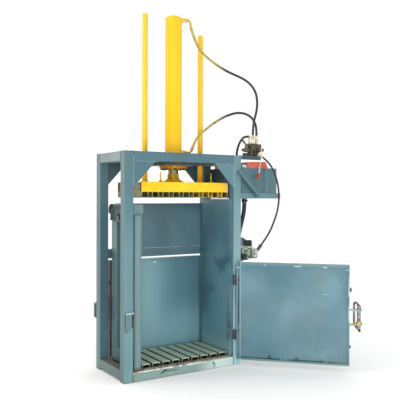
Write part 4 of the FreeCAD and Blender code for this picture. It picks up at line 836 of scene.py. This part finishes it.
def metal(name, main, other, rough, grain=60, rust=0, corner_dirt_and_shade=0.4, stretch=(1, 1, 1), metallic=1):
    """Metal in two shades, still open for more layers."""
    f = Finish(name, shade(*main), rough, **METAL)
    streaks = f.noise(grain, stretch=stretch)
    f.over(other, (streaks * 0.5 + f.noise(14) * 0.5).ramp(0.42, 0.6))
    # Soiling and painted shade in corners.
    grime_and_shade = f.over((46, 42, 36), f.corners(0.012).ramp(0.25, 0.8) * corner_dirt_and_shade, duller=0.3)
    rusty = f.over((128, 82, 48), f.patches(38, 0.52, 0.66, detail=5) * rust, duller=0.35)
    f.set(Metallic=metallic * (1 - (grime_and_shade + rusty).clipped()))
    f.rough = f.rough + streaks * 0.14
    f.relief = streaks
    return f


chrome = metal("chrome", (150, 146, 112), (128, 124, 92), 0.05, grain=160, corner_dirt_and_shade=0.2, stretch=(1, 1, 0.1))
chrome.done("piston_rod")
black = metal("black_bolt", (52, 50, 48), (36, 35, 34), 0.38, rust=0.15, metallic=0.8)
black.done("gland_bolts")
metal("dark_iron", (62, 60, 58), (40, 40, 38), 0.45, rust=0.2, metallic=0.6).done()
cast = metal("cast_valve", (118, 110, 92), (70, 68, 56), 0.5, grain=90, rust=0.15, corner_dirt_and_shade=0.8, metallic=0.5)
cast.done("valve_body", "relief_valve")

f = metal("zinc", (232, 226, 196), (184, 172, 124), 0.3, corner_dirt_and_shade=0.7, metallic=0.7)
f.over((176, 148, 168), f.between("Z", 1.755, 1.8, 0.01) * f.patches(60, 0.5, 0.62) * 0.4)
f.over((80, 78, 74), f.z(1.32, 1.28) * 0.9)
f.over((198, 182, 64), f.x(0.45, 0.4) * f.patches(40, 0.25, 0.45) * 0.85, duller=0.2)
f.over((70, 70, 64), f.z(2.4, 2.42) * f.z(2.52, 2.51) * 0.7, duller=0.2)
f.done("hose_fittings")
print(sorted(finishes))

# %% Pump casting, lock handles, elbows and lever
f = metal("cast_light", (176, 188, 168), (122, 136, 116), 0.5, grain=50, corner_dirt_and_shade=0.9, metallic=0.2)
f.over((216, 222, 214), f.x(0.68, 0.692) * f.patches(30, 0.62, 0.42) * 0.8)
f.over((212, 220, 196), f.z(0.88, 0.9) * f.patches(24, 0.36, 0.52) * 0.8)
f.over((34, 42, 38), f.x(0.64, 0.61) * f.z(0.862, 0.846) * 0.9, duller=0.2)
f.over((30, 48, 42), f.patches(34, 0.6, 0.68, detail=2) * 0.8)
f.done("pump")

f = metal("handle_steel", (150, 150, 146), (92, 92, 90), 0.34, rust=0.12, corner_dirt_and_shade=0.8, metallic=0.6)
f.over((18, 18, 18), (f.z(0.326, 0.318) + f.near((1.1112, -0.9014, 0.503), 0.016)).clipped())
f.over((190, 168, 84), f.between("Z", 0.358, 0.38, 0.002) * f.x(1.088, 1.092) * 0.7)
f.done("front_lock", "rear_lock")

f = metal("elbow_spray", (196, 184, 96), (150, 142, 70), 0.4, corner_dirt_and_shade=0.7, metallic=0.3)
f.over((206, 188, 62), f.patches(30, 0.38, 0.56) * 0.85, duller=0.1)
f.done("cylinder_elbows")

f = metal("lever_iron", (222, 214, 190), (196, 186, 156), 0.4, metallic=0.3)
f.over((188, 54, 40), f.z(1.502, 1.496))
f.done("valve_lever")
print("metals done")

# %% Rubber, and the yellow that the spray gun left on it
SPRAY_X = 0.47


def rubber(name, sprayed=False):
    """Black hose rubber, dusty, and with yellow overspray towards the cylinder."""
    f = Finish(name, shade(34, 34, 36), 0.45)
    wrap = f.noise(260, detail=2, stretch=(1, 1, 0.6))
    f.over((70, 72, 74), f.patches(30, 0.5, 0.7, detail=4) * 0.5 + wrap * 0.2, duller=0.2)
    if sprayed:
        f.over((190, 174, 70), f.patches(34, 0.22, 0.5) * f.x(SPRAY_X, SPRAY_X - 0.16) * 0.85)
    f.relief = wrap
    f.done(strength=0.5)


rubber("rubber")
rubber("rubber_sprayed", sprayed=True)

f = Finish("white_cap", shade(226, 226, 220), 0.4)
f.over((200, 200, 192), f.patches(30, 0.4, 0.65))
# Painted shade in the corners.
f.over((70, 66, 60), f.corners(0.01).ramp(0.25, 0.8) * 0.5, duller=0.3)
f.done("tank_plugs", depth=0.0001, radius=0.001, strength=0.3)
for name, piece in hoses.items():
    wear(piece, "rubber_sprayed" if "cylinder" in name else "rubber")
print(len(finishes), "finishes on", len(nodes), "nodes")

# %% [markdown]
# ## Pieces the drawing leaves out
# An engineering model has no weld beads, screw heads or crimps, and without them a machine looks like a
# toy.  The next class builds all of them from one idea: a skin over a row of rings.  A turned part, a
# bent wire and a weld bead differ only in where their rings lie.

# %% A maker of small parts
def across(direction):
    """A direction, and two more at right angles to it."""
    along = Vector(direction).normalized()
    helper = Vector((0, 0, 1)) if abs(along.z) < 0.9 else Vector((1, 0, 0))
    side = along.cross(helper).normalized()
    return along, side, side.cross(along)


UP, DOWN, FRONT, BACK, LEFT, RIGHT = (0, 0, 1), (0, 0, -1), (0, -1, 0), (0, 1, 0), (-1, 0, 0), (1, 0, 0)


class Maker:
    """Collects skins over rings, then makes one piece of them."""

    def __init__(self):
        self.mesh = bmesh.new()

    def skin(self, rings, closed=False):
        """Join rings of places; closed joins the last to the first, otherwise the ends are filled."""
        made = [[self.mesh.verts.new(place) for place in ring] for ring in rings]
        sides = len(made[0])
        after = made[1:] + made[:1] if closed else made[1:]
        for lower, upper in zip(made, after):
            for i in range(sides):
                j = (i + 1) % sides
                self.mesh.faces.new((lower[i], lower[j], upper[j], upper[i]))
        if not closed:
            self.mesh.faces.new(made[0][::-1])
            self.mesh.faces.new(made[-1])

    def ring(self, centre, side, up, radius, sides):
        turns = [math.tau * i / sides for i in range(sides)]
        return [centre + (side * math.cos(a) + up * math.sin(a)) * radius for a in turns]

    def turned(self, profile, place, direction, sides=24):
        """A profile of (radius, height) pairs turned about an axis."""
        along, side, up = across(direction)
        self.skin([self.ring(Vector(place) + along * height, side, up, radius, sides)
                   for radius, height in profile])

    def tube(self, points, radius, sides=8, closed=False):
        """A round wire through points."""
        points = [Vector(point) for point in points]
        rings = []
        last = len(points) - 1
        for i, point in enumerate(points):
            before = points[i - 1] if i or closed else point
            after = points[(i + 1) % len(points)] if i < last or closed else point
            along, side, up = across(after - before)
            if rings and side.dot(last_side) < 0:
                side, up = -side, -up
            last_side = side
            rings.append(self.ring(point, side, up, radius, sides))
        self.skin(rings, closed)

    def hoop(self, centre, direction, radius, thickness, sides=40, round_sides=8):
        """A wire bent to a circle."""
        along, side, up = across(direction)
        rings = []
        for i in range(sides):
            a = math.tau * i / sides
            out = side * math.cos(a) + up * math.sin(a)
            rings.append(self.ring(Vector(centre) + out * radius, out, along, thickness, round_sides))
        self.skin(rings, closed=True)

    def bead(self, start, end, radius=0.0028):
        """A weld bead: a row of ripples, half sunk in the joint."""
        start, end = Vector(start), Vector(end)
        steps = max(4, round((end - start).length / 0.003))
        along, side, up = across(end - start)
        rings = []
        for i in range(steps + 1):
            swell = radius * (0.88 + 0.14 * math.sin(i * 2.1)) * dice.uniform(0.92, 1.08)
            if i in (0, steps):
                swell *= 0.45
            centre = start.lerp(end, i / steps) + (side + up) * dice.uniform(-0.12, 0.12) * radius
            rings.append(self.ring(centre, side, up, swell, 8))
        self.skin(rings)

    def screw(self, place, direction, radius, height):
        """A socket-head screw: domed rim and a hollow socket."""
        rim, top = radius * 1.15, height * 0.8
        self.turned([(rim, -0.001), (rim, 0.0006), (radius, 0.0008), (radius, top), (radius * 0.86, height),
                     (radius * 0.52, height), (radius * 0.46, height * 0.35), (radius * 0.05, height * 0.3)],
                    place, direction, 16)

    def hex_bolt(self, place, direction, radius, height):
        """A hexagon head with its chamfer, on a round washer."""
        rim = radius * 1.35
        self.turned([(rim, -0.001), (rim, 0.0012), (radius * 1.25, 0.0016), (radius * 0.5, 0.0016)],
                    place, direction, 20)
        self.turned([(radius, 0.0012), (radius, height * 0.82), (radius * 0.88, height),
                     (radius * 0.2, height * 0.98)], place, direction, 6)

    def made(self, name, finish, slot, body="frame"):
        """One piece of all that was collected, with its body and finish.  slot is not used."""
        bmesh.ops.recalc_face_normals(self.mesh, faces=self.mesh.faces)
        data = bpy.data.meshes.new(name)
        self.mesh.to_mesh(data)
        self.mesh.free()
        for face in data.polygons:
            face.use_smooth = True
        data.set_sharp_from_angle(angle=math.radians(35))
        piece = new_object(name, data)
        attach(piece, body)
        wear(piece, finish)
        print(name, len(data.polygons), "faces")


dice = random.Random(11)

# %% [markdown]
# ### Welds
# The tubes meet in plain butt joints.  Each bead follows its joint line on the faces where a welder can
# reach it.  The seams round the front gussets were ground flush and show as thin bright lines.

# %% Frame welds
POST_IN = 0.43
OUT_X = 0.5
OUT_Y = 0.25
TOP = 1.63
UNDER = 1.56
IN_Y = 0.18

beads = Maker()
for x in (-POST_IN, POST_IN):
    for y in (-OUT_Y, OUT_Y):
        beads.bead((x, y, 0.005), (x, y, 0.068))
        beads.bead((x, y * 0.99, TOP), (x, y * 0.735, TOP))
for x in (-OUT_X, OUT_X):
    for y in (-IN_Y, IN_Y):
        beads.bead((x, y, UNDER + 0.002), (x, y, TOP - 0.003))
        beads.bead((x, y, 0.016), (x, y, 0.081))
        beads.bead((x * 0.99, y, TOP), (x * 0.868, y, TOP))
for x in (-POST_IN, POST_IN):
    beads.bead((x, OUT_Y, 0.836), (x, OUT_Y, 0.902))
    beads.bead((x, OUT_Y, UNDER), (x, OUT_Y, TOP - 0.003))
    beads.bead((x, OUT_Y, 1.376), (x, OUT_Y, 1.556))
    beads.bead((x, OUT_Y, UNDER), (x * 0.6, OUT_Y, UNDER))
for left, right in ((-0.255, -0.175), (-0.078, -0.038), (0.1, 0.14), (0.237, 0.317)):
    for x in (left, right):
        for y in (-IN_Y, IN_Y):
            beads.bead((x, y, UNDER + 0.003), (x, y, TOP - 0.003), 0.0035)
beads.made("frame_welds", "post_rear", "frame_paint")

seams = Maker()
for x in (-POST_IN, POST_IN):
    seams.bead((x, -OUT_Y, 1.376), (x, -OUT_Y, 1.556), 0.0021)
    seams.bead((x * 0.995, -OUT_Y, UNDER), (x * 0.6, -OUT_Y, UNDER), 0.0013)
seams.bead((-POST_IN, -OUT_Y, UNDER), (-POST_IN, -OUT_Y, TOP - 0.03), 0.0018)
seams.made("gusset_seams", "bright_seam", "frame_paint")

# %% Welds of brackets, hinges and keepers
SHELF_UNDER = 0.79
HINGE_STEP = 0.034

beads = Maker()
for z in (0.3825, 0.4975):
    beads.bead((-0.482, -OUT_Y, z), (-0.441, -OUT_Y, z))
    beads.bead((-0.499, OUT_Y, z), (-0.481, OUT_Y, z))
beads.bead((-0.4402, -OUT_Y, 0.399), (-0.4402, -OUT_Y, 0.481))
for z in (0.209, 0.63):
    beads.bead((0.4415, -OUT_Y, z), (0.4415, -OUT_Y, z + HINGE_STEP))
    beads.bead((0.425, -OUT_Y, z), (0.441, -OUT_Y, z))
    beads.bead((0.4695, OUT_Y, z), (0.4695, OUT_Y, z + HINGE_STEP))
    beads.bead((0.453, OUT_Y, z), (0.469, OUT_Y, z))
for y in (-OUT_Y, OUT_Y):
    beads.bead((OUT_X, y * 0.998, 1.303), (OUT_X, y * 0.998, 1.337))
    beads.bead((0.5, y, 1.491), (0.483, y, 1.478))
beads.bead((OUT_X, -0.252, 1.6), (OUT_X, -0.252, 1.629))
beads.bead((OUT_X, -0.245, TOP), (OUT_X, -0.155, TOP))
for y in (-0.248, 0.182):
    beads.bead((0.508, y, SHELF_UNDER), (0.508, y + 0.066, SHELF_UNDER), 0.0035)
for y in (-0.014, 0.176):
    beads.bead((0.509, y, SHELF_UNDER), (0.74, y, 0.7905), 0.002)
beads.made("bracket_welds", "bracket", "frame_paint")


# %% Door welds
def on_open_door(x, y, z):
    """A place on the front door as drawn closed, turned to where the open door stands."""
    pin = Vector((PIN_X, PIN_Y, 0))
    return Matrix.Rotation(math.radians(135), 3, "Z") @ (Vector((x, y, z)) - pin) + pin


IRON_Y = -0.294


def door_beads(beads, place, free, edge, ribs, high):
    """Beads at the rib ends and the frame corners; place() puts a drawn place where it belongs."""
    for z in ribs:
        for x in (free + 0.0135, edge - 0.0135):
            beads.bead(place(x, IRON_Y, z - 0.024), place(x, IRON_Y, z + 0.024))
    for x, inward in ((free, 1), (edge, -1)):
        for z, up in ((0.057, 1), (high, -1)):
            corner = place(x + inward * 0.002, IRON_Y, z + up * 0.002)
            beads.bead(corner, place(x + inward * 0.013, IRON_Y, z + up * 0.013), 0.0022)


beads = Maker()
door_beads(beads, on_open_door, -0.437, 0.408, (0.147, 0.334, 0.49, 0.715), 0.805)
for z in (0.243, 0.664):
    beads.bead(on_open_door(0.4085, -0.276, z + 0.003), on_open_door(0.4085, -0.276, z + 0.036))
for z in (0.352, 0.462):
    beads.bead(on_open_door(-0.437, -0.29, z), on_open_door(-0.437, -0.26, z), 0.0024)
beads.made("front_door_welds", "door_sheet", "frame_paint", "front_door")

beads = Maker()
door_beads(beads, lambda x, y, z: (x, -y, z), -0.383, 0.436, (0.147, 0.342, 0.534, 0.722), 0.812)
beads.made("rear_door_welds", "rear_door_sheet", "frame_paint", "rear_door")

# %% [markdown]
# ### Press and cylinder
# The press is welded too, round every foot that stands on it, and the cylinder has its weld rings at the
# cap and at the ports.

# %% Weld rings
rings = Maker()
rings.hoop((MIDDLE_X, 0, 1.4175), UP, 0.0805, 0.003, 60)
for x, y in ((-0.161, -0.15), (0.283, -0.15)):
    rings.hoop((x, y, 1.4165), UP, 0.0135, 0.0018, 24)
for x in (-0.215, 0.277):
    rings.hoop((x, 0, 1.4165), UP, 0.022, 0.0028, 32)
rings.made("platen_welds", "yellow", "yellow_paint", "platen")

rings = Maker()
rings.hoop((MIDDLE_X, 0, 2.668), UP, 0.064, 0.0022, 60)
rings.hoop((MIDDLE_X, 0, 1.6065), UP, 0.0655, 0.0032, 60)
for z in (2.672, 1.652):
    rings.hoop((0.0895, -0.0273, z), (0.906, -0.423, 0), 0.0135, 0.0022, 24)
rings.made("cylinder_welds", "yellow", "yellow_paint")

# %% [markdown]
# ### Hose ends
# A hose is held by a sleeve squeezed on in a press.  The jaws leave a row of ribs round the sleeve.  The
# suction hose has clamps with a worm screw instead.

# %% Crimped sleeves
def crimps(maker, place, direction, radius, first, last, count):
    """Ribs round a sleeve, from first to last along its direction."""
    for i in range(count):
        height = first + (last - first) * i / (count - 1)
        maker.turned([(radius - 0.0006, height - 0.002), (radius + 0.0007, height - 0.0012),
                      (radius + 0.0007, height + 0.0012), (radius - 0.0006, height + 0.002)],
                     place, direction, 24)


def clamp(maker, place, direction, radius, width):
    """A worm-drive clamp: a band with rolled edges, and the housing of its screw."""
    half = width / 2
    maker.turned([(radius - 0.001, -half), (radius + 0.0012, -half), (radius + 0.0012, -half + 0.0015),
                  (radius + 0.0005, -half + 0.002), (radius + 0.0005, half - 0.002),
                  (radius + 0.0012, half - 0.0015), (radius + 0.0012, half), (radius - 0.001, half)],
                 place, direction, 32)
    along, side, up = across(direction)
    seat = Vector(place) + side * (radius + 0.004)
    maker.turned([(0.0035, -0.009), (0.0048, -0.008), (0.0048, 0.006), (0.003, 0.007), (0.003, 0.009),
                  (0.0042, 0.0095), (0.0042, 0.013), (0.0036, 0.0135)], seat, up, 12)


sleeves = Maker()
crimps(sleeves, (0.628, -0.228, 1.731), UP, 0.0125, 0.032, 0.062, 5)
crimps(sleeves, (0.688, -0.196, 1.731), UP, 0.0125, 0.032, 0.062, 5)
crimps(sleeves, (0.545, -0.122, 1.538), UP, 0.013, 0.028, 0.054, 5)
sleeves.turned([(0.009, 0), (0.0108, 0.001), (0.0108, 0.005), (0.0098, 0.006), (0.0098, 0.009)],
               (0.608, -0.203, 1.786), LEFT, 20)
sleeves.made("hose_sleeve_ribs", "zinc", "zinc")

sleeves = Maker()
crimps(sleeves, (0.748, -0.1314, 0.8696), (0.552, -0.235, 0.8), 0.013, 0.027, 0.054, 5)
sleeves.made("pump_sleeve_ribs", "dark_iron", "black_steel")

clamps = Maker()
clamp(clamps, (0.677, -0.05, 1.276), DOWN, 0.0222, 0.014)
clamp(clamps, (0.5925, -0.0762, 0.955), (0.307, 0.145, 0.94), 0.0212, 0.014)
clamps.made("suction_clamps", "dark_iron", "black_steel")

# %% [markdown]
# ### Screws and covers
# Everything that opens is held by screws: the valve block, the pump's cover, the terminal box and the
# tank's red cover.  The motor's cowl has a grille for its fan.

# %% Valve, pump and motor
screws = Maker()
for x, z in ((0.611, 1.687), (0.611, 1.719), (0.655, 1.687), (0.655, 1.719)):
    screws.screw((x, -0.24, z), FRONT, 0.0042, 0.0045)
screws.hex_bolt((0.5885, -0.215, 1.654), LEFT, 0.005, 0.005)
screws.hex_bolt((0.6615, -0.238, 1.662), FRONT, 0.005, 0.005)
screws.made("valve_screws", "black_bolt", "black_steel")

screws = Maker()
for x, z in ((0.592, 0.822), (0.66, 0.824), (0.66, 0.888), (0.6, 0.89), (0.628, 0.889)):
    screws.screw((x, -0.142, z), FRONT, 0.0048, 0.006)
for z in (0.816, 0.846, 0.878):
    screws.screw((0.706, -0.15, z), FRONT, 0.0045, 0.005)
screws.hoop((0.61, -0.1575, 0.868), FRONT, 0.0245, 0.0016, 32)
screws.hoop((0.616, -0.1535, 0.838), FRONT, 0.0275, 0.0014, 32)
screws.made("pump_screws", "dark_iron", "black_steel")

MOTOR_END = Vector((0.654, 0.2025, 0.884))
MOTOR_SIDE = Vector((0.654, 0.165, 0.884))


def around(share):
    """A direction in the plane across the motor, share of a full turn on from +X."""
    return Vector((math.cos(math.tau * share), 0, math.sin(math.tau * share)))


grille = Maker()
for radius in (0.02, 0.032, 0.044, 0.056, 0.068):
    grille.hoop(MOTOR_END, BACK, radius, 0.0018, 48, 6)
for i in range(6):
    out = around(i / 6)
    grille.tube([MOTOR_END + out * reach for reach in (0.018, 0.072)], 0.0016, 6)
for i in range(4):
    out = around((i + 0.5) / 4)
    grille.screw(MOTOR_SIDE + out * 0.092, out, 0.004, 0.003)
grille.made("motor_grille", "dark_iron", "dark_paint")

lid = Maker()
corners = [(0.041, 0.857), (0.041, 0.921), (0.111, 0.921), (0.111, 0.857)]
lid.tube([(0.7905, y, z) for y, z in corners], 0.0022, 8, closed=True)
for y, z in corners:
    lid.screw((0.7902, y + (0.01 if y < 0.08 else -0.01), z + (0.01 if z < 0.9 else -0.01)), RIGHT,
              0.0036, 0.0028)
lid.made("terminal_lid", "box_black", "dark_paint")

# %% Tank cap, cover screws, rail bolts
ribs = Maker()
for i in range(28):
    a = math.tau * i / 28
    x, y = 0.547 + math.cos(a) * 0.0199, -0.218 + math.sin(a) * 0.0199
    ribs.turned([(0.0006, 0.002), (0.0012, 0.004), (0.0012, 0.016), (0.0006, 0.018)], (x, y, 1.538), UP, 6)
ribs.made("filler_cap_ribs", "white_cap", "white_plastic")

screws = Maker()
for x in (0.592, 0.667, 0.742):
    screws.hex_bolt((x, -0.2322, 1.547), FRONT, 0.0042, 0.004)
    screws.hex_bolt((x, 0.2322, 1.547), BACK, 0.0042, 0.004)
screws.made("tank_cover_screws", "red_cover", "red_paint")

bolts = Maker()
for z in (1.135, 1.155):
    bolts.hex_bolt((-0.4215, 0.03, z), FRONT, 0.004, 0.0045)
bolts.made("rail_bolts", "white_cap", "zinc")

# %% [markdown]
# ### Locks and wire
# The turning locks get their washers and grease nipples.  Bent ends of baling wire hang on the ledge
# under the door opening.

# %% Lock washers, nipples and the wires
for name, x, y, low, high in (("front_lock", 1.11119, -0.90145, 0.362, 0.472),
                              ("rear_lock", -0.451, 0.299, 0.37, 0.516)):
    parts = Maker()
    for z in (low + 0.0006, high + 0.0006):
        parts.turned([(0.015, 0), (0.0185, 0), (0.019, 0.0006), (0.019, 0.0022), (0.015, 0.0026)],
                     (x, y, z), UP, 28)
    parts.turned([(0.003, 0), (0.0036, 0.003), (0.003, 0.006), (0.0016, 0.008), (0.0012, 0.01)],
                 (x, y, high + 0.0265), UP, 10)
    parts.made(name + "_washers", "handle_steel", "bare_steel", name)

wire = Maker()
ledge = -0.2518
wire.tube([(-0.216, ledge, 0.029), (-0.205, ledge, 0.035), (-0.192, ledge - 0.001, 0.043),
           (-0.18, ledge - 0.001, 0.053), (-0.17, ledge, 0.058), (-0.162, ledge, 0.05),
           (-0.146, ledge, 0.0435), (-0.118, ledge, 0.0445), (-0.096, ledge, 0.0425),
           (-0.076, ledge, 0.0415)], 0.002)
wire.tube([(-0.192, ledge, 0.036), (-0.178, ledge - 0.002, 0.041), (-0.184, ledge - 0.001, 0.049),
           (-0.168, ledge, 0.051), (-0.158, ledge, 0.046)], 0.0026)
wire.tube([(0.24, ledge, 0.066), (0.243, ledge - 0.001, 0.046), (0.252, ledge - 0.001, 0.036),
           (0.258, ledge, 0.022), (0.252, ledge, 0.013), (0.24, ledge, 0.016)], 0.0018)
wire.tube([(0.236, ledge, 0.04), (0.246, ledge - 0.002, 0.044), (0.262, ledge, 0.041)], 0.002)
wire.made("ledge_wires", "dark_iron", "black_steel")

# %% [markdown]
# ## Floor and light
# The machine stands on a plain pale floor, in the soft even light of a product picture.  The white
# surroundings do most of the work.  A warm softbox on the left and a weaker one in front give the faces
# their different brightness.

# %% Studio
def area_light(name, place, aim, size, power, tint=(1, 1, 1)):
    data = bpy.data.lights.new(name, "AREA")
    data.shape = "SQUARE"
    data.size = size
    data.energy = power
    data.color = tint
    lamp = new_object(name, data)
    lamp.location = place
    lamp.rotation_euler = (Vector(aim) - Vector(place)).to_track_quat("-Z", "Y").to_euler()


half = 30
data = bpy.data.meshes.new("studio_floor")
data.from_pydata([(-half, -half, 0), (half, -half, 0), (half, half, 0), (-half, half, 0)], [], [(0, 1, 2, 3)])
floor = new_object("studio_floor", data)
floor_finish = Finish("pale_floor")
floor_finish.set(Base_Color=(0.97, 0.97, 0.97, 1), Roughness=0.8)
floor.data.materials.append(floor_finish.material)

world = bpy.data.worlds.new("studio")
world.use_nodes = True
sky = world.node_tree.nodes["Background"].inputs
sky["Color"].default_value = (1, 1, 1, 1)
sky["Strength"].default_value = 1.06
bpy.context.scene.world = world
area_light("left_softbox", (-4.2, 0.9, 3), (0, 0, 1.5), 2, 60, tint=(1, 0.93, 0.82))
area_light("front_softbox", (-1.5, -3.3, 0.55), (0.15, 0.15, 0.4), 1.2, 45)
bpy.context.scene.view_settings.view_transform = "Standard"
